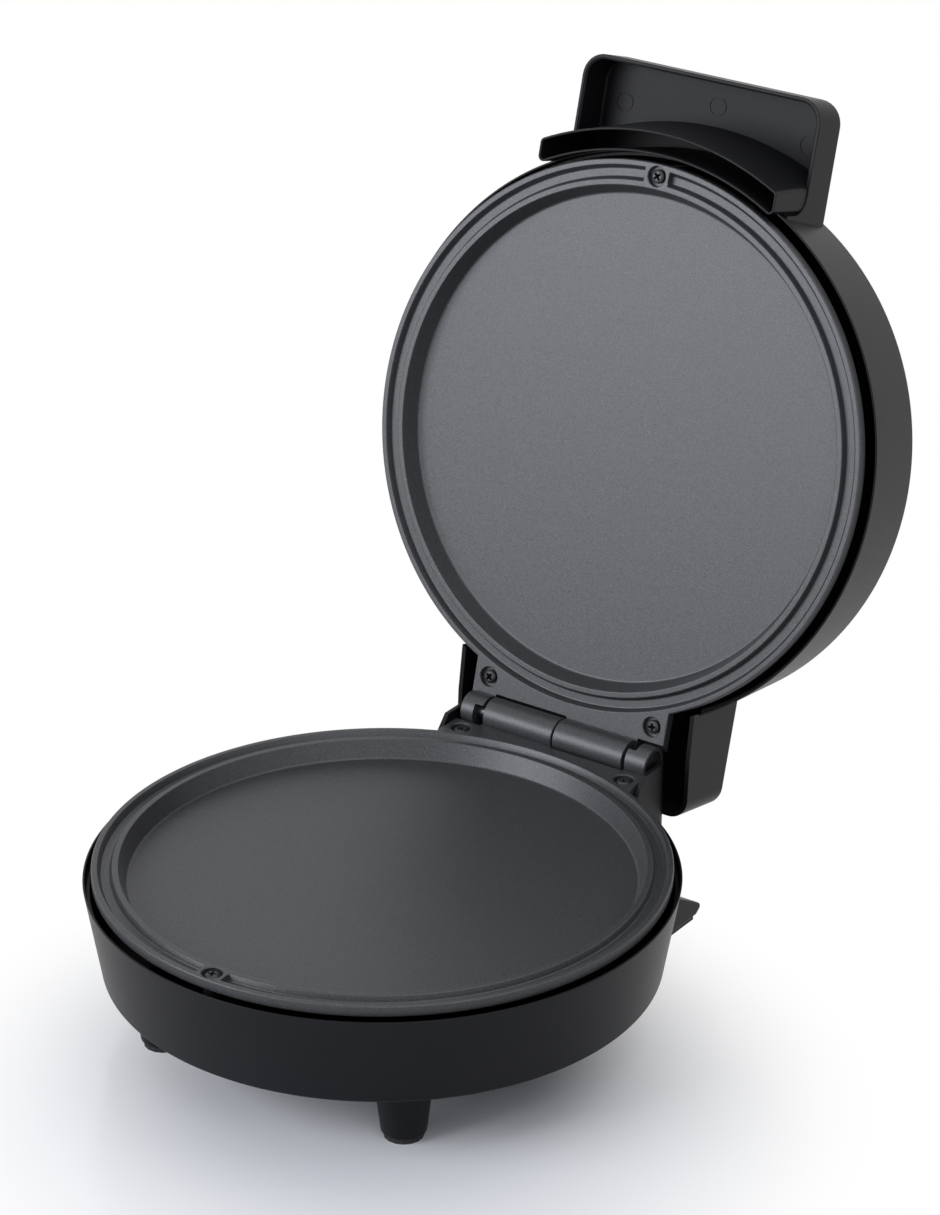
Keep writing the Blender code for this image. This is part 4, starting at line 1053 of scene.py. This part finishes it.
@dataclass
class PlateScrew:
    """A black pan-head screw with a cross recess."""

    head_radius: float = 0.0038
    head_height: float = 0.0022
    head_edge: float = 0.0009
    crown: float = 0.0025
    shank_radius: float = 0.0019
    length: float = 0.014
    drive_width: float = 0.0015
    drive_length: float = 0.0023
    drive_depth: float = 0.0032
    drive_narrowing: float = 0.0006
    shoulder_share: float = 0.7
    seat: float = -0.0027
    turns: tuple[float, ...] = (0.35, 1.1, 0.7, 0.75, 0.2, 0.9)

    def mesh(self, turn: float) -> Mesh:
        """The screw, its seat at z = 0, with its recess turned by an angle.

        Args:
            turn: How far its recess is turned, in radians.

        Returns:
            The mesh.
        """
        corners = [
            (self.shank_radius / 3, -self.length, 0),
            (self.shank_radius, self.shank_radius - self.length, 0),
            (self.shank_radius, 0, 0),
            (self.head_radius, 0, self.head_edge / 3),
            (self.head_radius, self.head_height * self.shoulder_share, self.head_edge),
            (self.crown, self.head_height, self.head_edge),
            (self.crown / 4, self.head_height, 0),
        ]
        plain = revolve("screw", corner_path(corners), even_angles(SMALL_STEPS))
        reach, half = self.drive_length, self.drive_width / 2
        ends = ((-reach, -half), (reach, -half), (reach, half), (-reach, half))
        foot = corner_path([(x, y, half / 2) for x, y in ends], DRIVE_STEPS)
        levels = [
            (self.head_height - self.drive_depth, self.drive_narrowing),
            (self.head_height, 0),
            (self.head_height + OVERRUN, 0),
        ]
        slots = []
        for across in (0, math.pi / 2):
            slot = slab("drive", foot, levels)
            slot.transform(Matrix.Rotation(across + turn, 4, "Z"))
            slots.append(slot)
        return combined("screw", plain, cuts(*slots))

    def build(self, casting: PlateCasting) -> None:
        """The six screws, each turned its own way.

        Args:
            casting: The plate that they hold.
        """
        halves = (("lower", Body.BASE, LAYOUT.base()), ("upper", Body.LID, LAYOUT.upper_casting()))
        turns = iter(self.turns)
        for prefix, body, place in halves:
            for side, (x, y) in casting.screw_places.items():
                seat = Matrix.Translation((x, y, self.seat))
                name = f"{prefix}_plate_screw_{side}"
                dress(f"{name}_head", self.mesh(next(turns)), BLACK_STEEL, body, place @ seat, [name])


# The two housings.


@dataclass
class Housing:
    """What the two housings share: a round tapering bucket with a thin lip, and three screw bosses."""

    lip_clearance: float = 0.0036
    lip_thickness: float = 0.001
    lip_depth: float = 0.006
    lip_edge: float = 0.0004
    setback: float = 0.0065
    screw_boss_radius: float = 0.0046
    boss_bore: float = 0.0022
    screw_length: float = 0.014
    flange: float = 0.006

    @property
    def lip_radius(self) -> float:
        """Inner radius of the lip."""
        return LAYOUT.plate_radius + self.lip_clearance

    @property
    def rim_radius(self) -> float:
        """Outer radius of the rim."""
        return self.lip_radius + self.lip_thickness

    def radius_at(self, taper: float, depth: float, distance: float) -> float:
        """Outer radius at a distance behind the plate's face."""
        return self.rim_radius - taper * (distance - self.setback) / (depth - self.setback)

    def outside(self, depth: float, taper: float, edge: float, sign: int) -> Mesh:
        """The bucket as a solid, rim first.

        Args:
            depth: The bucket's depth behind the face.
            taper: How much its radius shrinks.
            edge: Radius of its far edge.
            sign: 1 towards +Z behind the face, -1 towards -Z.

        Returns:
            The mesh.
        """
        end = self.radius_at(taper, depth, depth)
        start = self.radius_at(taper, depth, self.setback)
        corners = np.array([
            (end / 4, self.setback, 0),
            (start, self.setback, self.lip_edge),
            (end, depth, edge),
            (end / 4, depth, 0),
        ])
        return revolve("outside", corner_path(corners) * (1, sign))

    def inside(self, depth: float, taper: float, clear: float, sign: int) -> Mesh:
        """The bucket's hollow, from a distance in front of its rim.

        Args:
            depth: The bucket's depth behind the face.
            taper: How much its radius shrinks.
            clear: How far in front of the face it starts.
            sign: 1 towards +Z behind the face, -1 towards -Z.

        Returns:
            The mesh.
        """
        step = self.setback + self.lip_depth
        floor = depth - LAYOUT.wall
        at_step = self.radius_at(taper, depth, step)
        at_floor = self.radius_at(taper, depth, floor) - LAYOUT.wall
        corners = np.array([
            (at_floor / 4, -clear, 0),
            (self.lip_radius, -clear, 0),
            (self.lip_radius, self.setback, 0),
            (at_step - self.lip_thickness, step, 0),
            (at_step - LAYOUT.wall, step, 0),
            (at_floor, floor, LAYOUT.wall / 2),
            (at_floor / 4, floor, 0),
        ])
        return revolve("inside", corner_path(corners) * (1, sign))

    def bosses(
        self, casting: PlateCasting, sign: int, floors: Sequence[float]
    ) -> tuple[list[Mesh], list[Mesh]]:
        """The three bosses that carry a plate, and the bores in them.

        Args:
            casting: The plate that they carry.
            sign: 1 towards +Z behind the face, -1 towards -Z.
            floors: How far behind the face each one ends.

        Returns:
            The bosses, and their bores.
        """
        top = self.flange + LAYOUT.fit_gap
        solid, bores = [], []
        for place, floor in zip(casting.screw_places.values(), floors):
            low, high = sorted((sign * top, sign * floor))
            solid.append(rod("boss", self.screw_boss_radius, low, high, (*place, 0)))
            low, high = sorted((sign * (top - OVERRUN), sign * (top + self.screw_length)))
            bores.append(rod("boss_bore", self.boss_bore, low, high, (*place, 0)))
        return solid, bores


@dataclass
class BaseShell(Housing):
    """The lower housing, with its neck, two round front feet and two splayed rear legs."""

    depth: float = 0.057
    taper: float = 0.0086
    edge: float = 0.002
    neck_depth: float = 0.050
    neck_corner: float = 0.011
    neck_half_width: float = 0.0655
    neck_inner: float = 0.063
    neck_rear: float = 0.17343
    neck_edge: float = 0.0012
    cheek_rise: float = 0.0045
    cheek_edge: float = 0.0004
    ramp_run: float = 0.010
    slot_half_width: float = 0.0624
    rear_drop: float = 0.008
    foot_place: Pair = (0.0765, -0.0885)
    foot_root: float = 0.0155
    foot_end: float = 0.0113
    foot_seat: float = 0.0033
    foot_edge: float = 0.0008
    foot_flare: float = 0.0022
    leg_outer: float = 0.079
    leg_width: float = 0.022
    leg_edge: float = 0.0012
    leg_side: tuple[Triple, ...] = (
        (0.1000, 0.0373, 0.0),
        (0.1500, 0.0023, 0.004),
        (0.1820, 0.0023, 0.003),
        (0.1880, 0.0065, 0.0022),
        (0.1810, 0.0110, 0.003),
        (0.1280, 0.0410, 0.0),
    )
    gland_radius: float = 0.0056
    gland_height: float = -0.039

    def neck_plan(self, half_width: float, rear: float, corner: float) -> np.ndarray:
        """Plan of the neck or of its inside."""
        root = math.sqrt((self.rim_radius - self.taper) ** 2 - self.neck_half_width**2) - 2 * LAYOUT.wall
        return box_outline(half_width, root, rear, corner)

    def neck(self) -> Mesh:
        """The box behind the bucket, whose cheeks ramp up beside the hinge.

        Returns:
            The mesh.
        """
        plan = self.neck_plan(self.neck_half_width, self.neck_rear, self.neck_corner)
        levels = low_end(-self.neck_depth, self.neck_edge) + high_end(self.cheek_rise, self.cheek_edge)
        rim_y = math.sqrt(self.rim_radius**2 - self.neck_half_width**2) - self.lip_thickness
        low = self.setback + OVERRUN
        slope = (self.cheek_rise + self.setback) / self.ramp_run
        side = np.array([
            (0, -low),
            (rim_y - OVERRUN / slope, -low),
            (rim_y + self.ramp_run, self.cheek_rise),
            (rim_y + self.ramp_run, self.cheek_rise + OVERRUN),
            (0, self.cheek_rise + OVERRUN),
        ])
        reach = self.neck_half_width + OVERRUN
        ramp = slab("ramp", side, [(-reach, 0), (reach, 0)], Axis.X)
        return combined("neck", slab("neck", plan, levels), cuts(ramp))

    def foot(self, side: int) -> tuple[Mesh, Mesh]:
        """One tapered front foot and its hollow: radius grows evenly with height and flares at the root.

        Args:
            side: -1 for the left, 1 for the right.

        Returns:
            The foot and its hollow.
        """
        standing = LAYOUT.face_height - self.depth
        slope = (self.foot_root - self.foot_end) / standing
        low, high = self.foot_seat, standing + LAYOUT.wall / 2
        place = (side * self.foot_place[0], self.foot_place[1], -LAYOUT.face_height)
        corners = [
            (self.foot_end / 2, low, 0),
            (self.foot_end + slope * low, low, self.foot_edge),
            (self.foot_root - slope * self.foot_flare, standing - self.foot_flare, self.foot_flare),
            (self.foot_root + self.foot_flare, standing, 0),
            (self.foot_root + self.foot_flare, high, 0),
            (self.foot_end / 2, high, 0),
        ]
        solid = revolve("foot", corner_path(corners), even_angles(SMALL_STEPS), place)
        wall = LAYOUT.wall
        inner = np.array([
            (self.foot_end / 2, low + wall),
            (self.foot_end + slope * (low + wall) - wall, low + wall),
            (self.foot_root + slope * wall - wall, standing + wall + OVERRUN),
            (self.foot_end / 2, standing + wall + OVERRUN),
        ])
        return solid, revolve("foot_inside", inner, even_angles(SMALL_STEPS), place)

    def leg(self, side: int) -> Mesh:
        """One splayed rear leg: its rounded side view pushed across its width.

        Args:
            side: -1 for the left, 1 for the right.

        Returns:
            The mesh.
        """
        outline = corner_path([(y, z - LAYOUT.face_height, r) for y, z, r in self.leg_side])
        low, high = sorted((side * self.leg_outer, side * (self.leg_outer - self.leg_width)))
        return slab("leg", outline, round_ends(low, high, self.leg_edge), Axis.X)

    def mesh(self, casting: PlateCasting) -> Mesh:
        """The whole lower housing.

        Args:
            casting: The plate that it carries.

        Returns:
            The mesh.
        """
        clear = self.cheek_rise + OVERRUN
        wall = LAYOUT.wall
        body_floor, neck_floor = self.depth - wall / 2, self.neck_depth - wall / 2
        bosses, bores = self.bosses(casting, -1, (body_floor, neck_floor, neck_floor))
        feet = [self.foot(side) for side in (-1, 1)]
        neck_hollow = slab(
            "neck_hollow",
            self.neck_plan(self.neck_inner, self.neck_rear - wall, self.neck_corner - wall),
            [(wall - self.neck_depth, 0), (clear, 0)],
        )
        slot = block(
            "slot",
            (-self.slot_half_width, self.neck_rear - self.neck_corner, -self.rear_drop),
            (self.slot_half_width, self.neck_rear + OVERRUN, clear),
        )
        gland = rod(
            "gland_hole", self.gland_radius, self.neck_rear - wall - OVERRUN, self.neck_rear + OVERRUN,
            (0, 0, self.gland_height), Axis.Y,
        )
        return combined("base", self.outside(self.depth, self.taper, self.edge, -1), [
            *joins(self.neck(), self.leg(-1), self.leg(1), *(solid for solid, _ in feet)),
            *cuts(
                combined("base_inside", self.inside(self.depth, self.taper, clear, -1), cuts(*bosses)),
                combined("neck_inside", neck_hollow, cuts(*[mesh.copy() for mesh in bosses])),
                slot, gland, *(hollow for _, hollow in feet), *bores,
            ),
        ])

    def build(self, casting: PlateCasting) -> None:
        """The lower housing as one piece."""
        dress("base_shell", self.mesh(casting), BLACK_PLASTIC, Body.BASE, LAYOUT.base(), ["base_housing"])


@dataclass
class LidShell(Housing):
    """The upper housing, with its rear box, the guard before the hot plate and the handle tray."""

    setback: float = 0.0095
    depth: float = 0.0622
    taper: float = 0.0061
    edge: float = 0.003
    box_half_width: float = 0.0755
    box_reach: float = 0.0298
    box_taper: float = 0.003
    box_depth: float = 0.0505
    box_corner: float = 0.011
    box_edge: float = 0.002
    box_rim: float = 0.014
    box_rim_shares: tuple[Pair, ...] = (
        (-1.9, 0.18), (-1.064, 0.286), (-0.158, 0.529), (0.614, 0.893), (0.93, 0.98), (1.5, 1.04),
    )
    handle_projection: float = 0.047
    handle_half_width: float = 0.0744
    handle_corner: float = 0.013
    handle_rim: float = 0.031
    handle_top: float = 0.055
    handle_lean: float = 0.0014
    handle_edge: float = 0.0018
    handle_ledge: float = 0.0009
    guard_inset: float = 0.0005
    guard_thickness: float = 0.0122
    guard_wall: float = 0.0013
    guard_lip: float = 0.0004
    guard_drop: float = 0.0016
    guard_taper: float = 0.003
    guard_corner: float = 0.003
    guard_half_width: float = 0.0738
    web_setback: float = 0.013
    cheek_corner: float = 0.010
    mark_radius: float = 0.0052
    mark_groove: float = 0.0004
    mark_places: tuple[Pair, ...] = ((-0.0578, -0.1716), (0.0, -0.1801), (0.0583, -0.1705))
    lamp_place: Pair = (0.014, -0.095)
    lamp_hole: float = 0.0043

    @property
    def guard_radius(self) -> float:
        """Inner radius of the guard."""
        return self.rim_radius - self.guard_inset

    def guard_plan(self, inset: float, spread: float) -> np.ndarray:
        """Plan of the guard: two arcs about the plate's centre, joined by straight ends with round corners.

        Args:
            inset: How far inside its outside.
            spread: How far its front has widened.

        Returns:
            The plan's points.
        """
        half_width, corner = self.guard_half_width - inset, self.guard_corner - inset
        corners = []
        for radius, turn in (
            (self.guard_radius + self.guard_thickness + spread - inset, 1),
            (self.guard_radius + inset, -1),
        ):
            half = turn * math.asin(half_width / radius)
            points = arc((0, 0), radius, DOWN - half, DOWN + half, GUARD_STEPS)
            radii = np.zeros(len(points))
            radii[[0, -1]] = corner
            corners.append(np.column_stack([points, radii]))
        return corner_path(np.concatenate(corners), CORNER_STEPS)

    def guard(self, name: str, levels: Sequence[Pair]) -> Mesh:
        """The guard or its hollow: at height z the plan widens by taper times its share of the rise.

        Args:
            name: The mesh's name.
            levels: (height, inset) pairs from its lip upwards.

        Returns:
            The mesh.
        """
        rise = self.handle_top + self.guard_drop
        rings = []
        for height, inset in levels:
            spread = self.guard_taper * (height + self.guard_drop) / rise
            rings.append(raised(self.guard_plan(inset, spread), height))
        return loft(name, np.stack(rings))

    def web(self) -> Mesh:
        """The solid web between the bucket and the guard, from cheek to cheek.

        Returns:
            The mesh.
        """
        outer = self.guard_radius + self.guard_wall
        half = math.asin((self.handle_half_width - LAYOUT.wall / 2) / outer)
        rings = []
        for height in (self.web_setback, self.handle_rim + LAYOUT.wall):
            inner = self.radius_at(self.taper, self.depth, height) - self.lip_thickness / 2
            plan = np.concatenate([
                arc((0, 0), outer, DOWN - half, DOWN + half, WEB_STEPS),
                arc((0, 0), inner, DOWN + half, DOWN - half, WEB_STEPS),
            ])
            rings.append(raised(plan, height))
        return loft("web", np.stack(rings))

    def handle_plan(self, inset: float, root: float) -> list[Triple]:
        """Corners of the handle's plan, inset from its outside.

        Args:
            inset: How far inside its outside.
            root: Where it meets the bucket.

        Returns:
            The corners as (x, y, radius).
        """
        half = self.handle_half_width - inset
        front = inset - LAYOUT.plate_radius - self.handle_projection
        corner = self.handle_corner - inset
        return [(-half, root, 0), (-half, front, corner), (half, front, corner), (half, root, 0)]

    def cheeks(self, root: float) -> Mesh:
        """The handle's sides beside the guard: they turn down to the bucket, and their edges are rounded.

        Args:
            root: Where they meet the bucket.

        Returns:
            The mesh.
        """
        turn_down = -math.sqrt((self.guard_radius + self.guard_wall) ** 2 - self.handle_half_width**2)
        front = self.handle_corner - LAYOUT.plate_radius - self.handle_projection
        above = self.handle_rim + LAYOUT.wall
        side = corner_path([
            (front, self.handle_rim, 0),
            (turn_down, self.handle_rim, self.cheek_corner),
            (turn_down, self.web_setback, 0),
            (root, self.web_setback, 0),
            (root, above, 0),
            (front, above, 0),
        ], CORNER_STEPS)
        half = self.handle_half_width
        return slab("cheeks", side, round_ends(-half, half, self.lip_edge), Axis.X)

    def handle(self) -> Mesh:
        """The handle: a shallow tray, open towards the table when the lid is shut.

        Its end wall leans in: y grows by the lean times z's share of the way from the tray's rim to
        its top.

        Returns:
            The mesh.
        """
        wall, ledge = LAYOUT.wall, self.handle_ledge
        top_radius = self.radius_at(self.taper, self.depth, self.handle_top)
        root = -math.sqrt(top_radius**2 - self.handle_half_width**2) + 2 * wall
        plan = corner_path(self.handle_plan(0, root), CORNER_STEPS)
        ends = low_end(self.handle_rim, self.lip_edge) + high_end(self.handle_top, self.handle_edge)
        middle = self.guard_radius + self.guard_thickness / 2
        half = math.asin((self.handle_half_width - wall) / middle)
        back = arc((0, 0), middle, DOWN + half, DOWN - half, WEB_STEPS)
        front = corner_path(self.handle_plan(wall, 0), CORNER_STEPS)[1:-1]
        levels = [
            (self.handle_rim - OVERRUN, -ledge),
            (self.handle_rim + ledge / 2, -ledge),
            (self.handle_rim + ledge, 0),
            *high_end(self.handle_top - wall, wall / 2),
        ]
        tray = slab("tray", np.concatenate([back, front]), levels)
        outside = slab("handle", plan, ends)
        slope = self.handle_lean / (self.handle_top - self.handle_rim)
        lean = Matrix(((1, 0, 0, 0), (0, 1, slope, -slope * self.handle_rim), (0, 0, 1, 0), (0, 0, 0, 1)))
        tray.transform(lean)
        outside.transform(lean)
        return combined("handle", outside, [*joins(self.cheeks(root)), *cuts(tray)])

    def box_plan(self, inset: float, height: float) -> np.ndarray:
        """Plan of the rear box at a height, or of its inside: its rear leans in evenly with height.

        Args:
            inset: How far inside its outside.
            height: The height.

        Returns:
            The plan's points.
        """
        half = self.box_half_width - inset
        top_radius = self.rim_radius - self.taper
        root = math.sqrt(top_radius**2 - self.box_half_width**2) - 2 * LAYOUT.wall
        lean = self.box_taper * (height - self.box_rim) / (self.box_depth - self.box_rim)
        rear = LAYOUT.hinge_y + self.box_reach - lean - inset
        return box_outline(half, root, rear, self.box_corner - inset)

    def rear_box(self) -> tuple[Mesh, Mesh]:
        """The box over the hinge, its rim sloping up to the rear, and its hollow.

        Returns:
            The box and its hollow.
        """
        wall = LAYOUT.wall
        solid_levels = [(0.0, 0.0), *high_end(self.box_depth, self.box_edge)]
        hollow_levels = [(-OVERRUN, wall), (self.box_depth - wall, wall)]
        solid, hollow = (
            loft(name, np.stack([raised(self.box_plan(inset, height), height) for height, inset in levels]))
            for name, levels in (("rear_box", solid_levels), ("box_hollow", hollow_levels))
        )
        rim = [(LAYOUT.hinge_y + u * self.box_reach, v * self.box_rim) for u, v in self.box_rim_shares]
        side = np.array([(rim[0][0], -OVERRUN), *rim, (rim[-1][0], -OVERRUN)])
        reach = self.box_half_width + OVERRUN
        under = slab("under", side, [(-reach, 0), (reach, 0)], Axis.X)
        return combined("rear_box", solid, cuts(under)), hollow

    def mark(self, place: Triple) -> Mesh:
        """A cutter for the fine round groove that an ejector pin leaves in the tray's floor.

        Args:
            place: Its middle, on the floor.

        Returns:
            The cutter.
        """
        groove = self.mark_groove
        disc = rod("mark", self.mark_radius, -OVERRUN, groove, place)
        core = rod("core", self.mark_radius - groove, -2 * OVERRUN, OVERRUN, place)
        return combined("mark", disc, cuts(core))

    def mesh(self, casting: PlateCasting) -> Mesh:
        """The whole upper housing.

        Args:
            casting: The plate that it carries.

        Returns:
            The mesh.
        """
        wall = LAYOUT.wall
        body_top, box_top = self.depth - wall / 2, self.box_depth - wall / 2
        bosses, bores = self.bosses(casting, 1, (body_top, box_top, box_top))
        box, hollow = self.rear_box()
        top = self.handle_top
        guard_levels = [*low_end(-self.guard_drop, self.guard_lip), (top - wall / 2, 0.0)]
        guard = self.guard("guard", guard_levels)
        slot = self.guard("slot", [
            (-self.guard_drop - OVERRUN, self.guard_wall - self.guard_lip),
            (-self.guard_drop, self.guard_wall - self.guard_lip),
            (self.guard_lip - self.guard_drop, self.guard_wall),
            (top - wall, self.guard_wall),
        ])
        lamp_x, lamp_y = self.lamp_place
        low, high = self.depth - wall - OVERRUN, self.depth + OVERRUN
        lamp_holes = [
            rod("lamp_hole", self.lamp_hole, low, high, (side * lamp_x, lamp_y, 0)) for side in (-1, 1)
        ]
        floor = top - wall
        marks = [self.mark((*place, floor)) for place in self.mark_places]
        return combined("lid", self.outside(self.depth, self.taper, self.edge, 1), [
            *joins(self.handle(), self.web(), guard, box),
            *cuts(
                combined("lid_inside", self.inside(self.depth, self.taper, OVERRUN, 1), cuts(*bosses)),
                combined("box_inside", hollow, cuts(*[mesh.copy() for mesh in bosses])),
                slot, *bores, *lamp_holes, *marks,
            ),
        ])

    def build(self, casting: PlateCasting) -> None:
        """The upper housing as one piece."""
        dress("lid_shell", self.mesh(casting), BLACK_PLASTIC, Body.LID, LAYOUT.lid(), ["lid_housing"])


# Nodes that keep the shape they have in the frame.


@dataclass
class CarriedOver:
    """CAD nodes that stay as they are, with a better material."""

    finishes: dict[str, Finish] = field(default_factory=lambda: {
        "lower_heating_element": ELEMENT_STEEL,
        "upper_heating_element": ELEMENT_STEEL,
        "lower_heat_shield": SHIELD_STEEL,
        "upper_heat_shield": SHIELD_STEEL,
        "lower_shield_nut": PIN_STEEL_WITH_PAINTED_SHADE,
        "upper_shield_nut": PIN_STEEL_WITH_PAINTED_SHADE,
        # The pin's darkened steel is painted shade for the gaps between the knuckles.
        "hinge_pin": PIN_STEEL_WITH_PAINTED_SHADE,
        "pin_clip_left": BLACK_STEEL,
        "pin_clip_right": BLACK_STEEL,
        "front_foot_pad_left": RUBBER,
        "front_foot_pad_right": RUBBER,
        "rear_foot_pad_left": RUBBER,
        "rear_foot_pad_right": RUBBER,
        "thermostat": CERAMIC,
        "thermal_fuse": PIN_STEEL_WITH_PAINTED_SHADE,
        "terminal_block": CERAMIC,
        "cord_gland": RUBBER,
        "power_lamp_lens": RED_LENS,
        "ready_lamp_lens": GREEN_LENS,
        "power_lamp": BULB_GLASS,
        "ready_lamp": BULB_GLASS,
    })

    def build(self) -> None:
        """Puts each finish in its node's material slots."""
        for name, finish in self.finishes.items():
            node = frame["nodes"][name]
            for slot in node.material_slots:
                slot.material = finish.material()
            log.info("%s: dressed in %s", name, finish.name)


# Camera, lamps and floor.


@dataclass(frozen=True)
class PhotoCamera:
    """The camera at the photograph's viewing angle.

    Attributes:
        position: Where it stands, from the plates' centre on the floor.
        yaw: Turn about Z from +Y, in radians.
        pitch: How far it looks down, in radians.
        roll: Turn about its own axis, in radians.
        lens: Focal length in millimetres on the longer side of the sensor.
    """

    position: Triple = (1.18404, -1.63152, 1.18948)
    yaw: float = -0.6058
    pitch: float = 0.4417
    roll: float = 0.0049
    lens: float = 131.75

    def build(self) -> None:
        """Right, up and back as columns: forward is (sin y cos p, cos y cos p, -sin p)."""
        yaw, pitch = self.yaw, self.pitch
        level = math.cos(pitch)
        ahead = Vector((math.sin(yaw) * level, math.cos(yaw) * level, -math.sin(pitch)))
        right = Vector((math.cos(yaw), -math.sin(yaw), 0))
        up = right.cross(ahead)
        right, up = (
            right * math.cos(self.roll) + up * math.sin(self.roll),
            up * math.cos(self.roll) - right * math.sin(self.roll),
        )
        data = bpy.data.cameras.new("photo_camera")
        data.lens = self.lens
        data.clip_start = 0.05
        camera = bpy.data.objects.new("photo_camera", data)
        turn = Matrix((right, up, -ahead)).transposed().to_4x4()
        camera.matrix_world = Matrix.Translation(LAYOUT.centre + Vector(self.position)) @ turn
        bpy.context.scene.collection.objects.link(camera)
        bpy.context.scene.camera = camera


@dataclass(frozen=True)
class SoftBox:
    """One large soft lamp.

    Attributes:
        name: Its name.
        position: Where it hangs, from the plates' centre on the floor.
        aim: The point it faces, from there too.
        width: Its width.
        height: Its height.
        power: Its power in watts.
        colour: Its colour.
    """

    name: str
    position: Triple
    aim: Triple
    width: float
    height: float
    power: float
    colour: Triple = (1.0, 1.0, 1.0)

    def build(self) -> None:
        """An area light that looks at its aim."""
        data = bpy.data.lights.new(self.name, "AREA")
        data.shape = "RECTANGLE"
        data.size, data.size_y = self.width, self.height
        data.energy = self.power
        data.color = self.colour
        lamp = bpy.data.objects.new(self.name, data)
        lamp.location = LAYOUT.centre + Vector(self.position)
        towards = Vector(self.aim) - Vector(self.position)
        lamp.rotation_euler = towards.to_track_quat("-Z", "Y").to_euler()
        bpy.context.scene.collection.objects.link(lamp)


def seen_directly(tree: bpy.types.NodeTree) -> Socket:
    """1 for rays of the camera, of gloss and through glass, and 0 for other light.

    Args:
        tree: The nodes of a material or a world.

    Returns:
        The value.
    """
    path = tree.nodes.new("ShaderNodeLightPath")
    seen = path.outputs["Is Camera Ray"]
    for ray in ("Is Glossy Ray", "Is Transmission Ray"):
        either = tree.nodes.new("ShaderNodeMath")
        either.operation = "MAXIMUM"
        tree.links.new(seen, either.inputs[0])
        tree.links.new(path.outputs[ray], either.inputs[1])
        seen = either.outputs[0]
    return seen


def blend(
    tree: bpy.types.NodeTree, share: Socket, first: bpy.types.Node, last: bpy.types.Node, output: str
) -> None:
    """Mixes two shaders and gives them to the tree's output.

    Args:
        tree: The nodes of a material or a world.
        share: 0 for the first shader, 1 for the last.
        first: The first shader.
        last: The last shader.
        output: Name of the output node.
    """
    mix = tree.nodes.new("ShaderNodeMixShader")
    for index, socket in enumerate((share, first.outputs[0], last.outputs[0])):
        tree.links.new(socket, mix.inputs[index])
    tree.links.new(mix.outputs[0], tree.nodes[output].inputs["Surface"])


@dataclass
class Studio:
    """Pale floor, white surroundings and soft lamps."""

    floor_half: float = 6.0
    floor_colour: Triple = (0.85, 0.86, 0.91)
    floor_roughness: float = 0.16
    floor_scale: float = 3.0
    floor_lift: float = 1.02
    clear_centre: Triple = (0.045, -0.065, 0.0)
    clear_from: float = 0.07
    clear_to: float = 0.26
    world_colour: Triple = (0.95, 0.97, 1.0)
    world_strength: float = 0.32
    lamps: tuple[SoftBox, ...] = (
        SoftBox("front_box", (-1.1, -1.65, 0.95), (0.0, 0.2, 0.25), 1.5, 1.1, 38.0, (0.94, 0.96, 1.0)),
        SoftBox("fill_box", (1.2, -0.9, 1.3), (0.0, 0.0, 0.1), 1.4, 1.0, 6.0, (0.96, 0.98, 1.0)),
        SoftBox("top_box", (0.3, 0.3, 1.9), (0.0, 0.0, 0.1), 1.4, 1.4, 6.0),
    )

    def floor(self) -> bpy.types.Object:
        """A large pale floor that fades to white far from the object, for the camera alone.

        Returns:
            The floor.
        """
        half = self.floor_half
        corners = np.array([(-half, -half, 0), (half, -half, 0), (half, half, 0), (-half, half, 0)])
        mesh = mesh_of("floor", corners, np.array([[0, 1, 2, 3]]), [])
        material = bpy.data.materials.new("pale_floor")
        nodes = Nodes(material)
        cloud = nodes.noise(self.floor_scale, FINE_DETAIL)
        lifted = tuple(value * self.floor_lift for value in self.floor_colour)
        tone = nodes.mixed(cloud, self.floor_colour, lifted)
        nodes.give(Base_Color=tone)
        nodes.shader.inputs["Roughness"].default_value = self.floor_roughness
        far = nodes.add("ShaderNodeVectorMath", operation="DISTANCE")
        nodes.tree.links.new(nodes.place, far.inputs[0])
        far.inputs[1].default_value = Vector(self.clear_centre) + LAYOUT.centre
        fade = nodes.ranged(far.outputs["Value"], self.clear_from, self.clear_to, 0.0, 1.0)
        share = nodes.multiplied(fade, seen_directly(nodes.tree))
        white = nodes.add("ShaderNodeEmission", Strength=1.0)
        blend(nodes.tree, share, nodes.shader, white, "Material Output")
        mesh.materials.append(material)
        return piece_of("floor", mesh)

    def surroundings(self) -> None:
        """A soft world that the camera, gloss and glass see as white."""
        world = bpy.data.worlds.new("soft_white")
        bpy.context.scene.world = world
        world.use_nodes = True
        tree = world.node_tree
        soft = tree.nodes["Background"]
        soft.inputs["Color"].default_value = (*self.world_colour, 1.0)
        soft.inputs["Strength"].default_value = self.world_strength
        white = tree.nodes.new("ShaderNodeBackground")
        white.inputs["Color"].default_value = (1.0, 1.0, 1.0, 1.0)
        blend(tree, seen_directly(tree), soft, white, "World Output")

    def build(self) -> None:
        """Floor, surroundings, lamps and the plain view transform."""
        self.floor()
        self.surroundings()
        for lamp in self.lamps:
            lamp.build()
        bpy.context.scene.view_settings.view_transform = "Standard"
        log.info("studio: floor and %d lamps", len(self.lamps))


def main() -> None:
    """Builds the camera, the pieces and the studio in order."""
    logging.basicConfig(level=logging.INFO, format="%(name)s: %(message)s")
    PhotoCamera().build()
    casting = PlateCasting()
    casting.build()
    PlateScrew().build(casting)
    BaseShell().build(casting)
    LidShell().build(casting)
    CarriedOver().build()
    Studio().build()


if __name__ == "__main__":
    main()
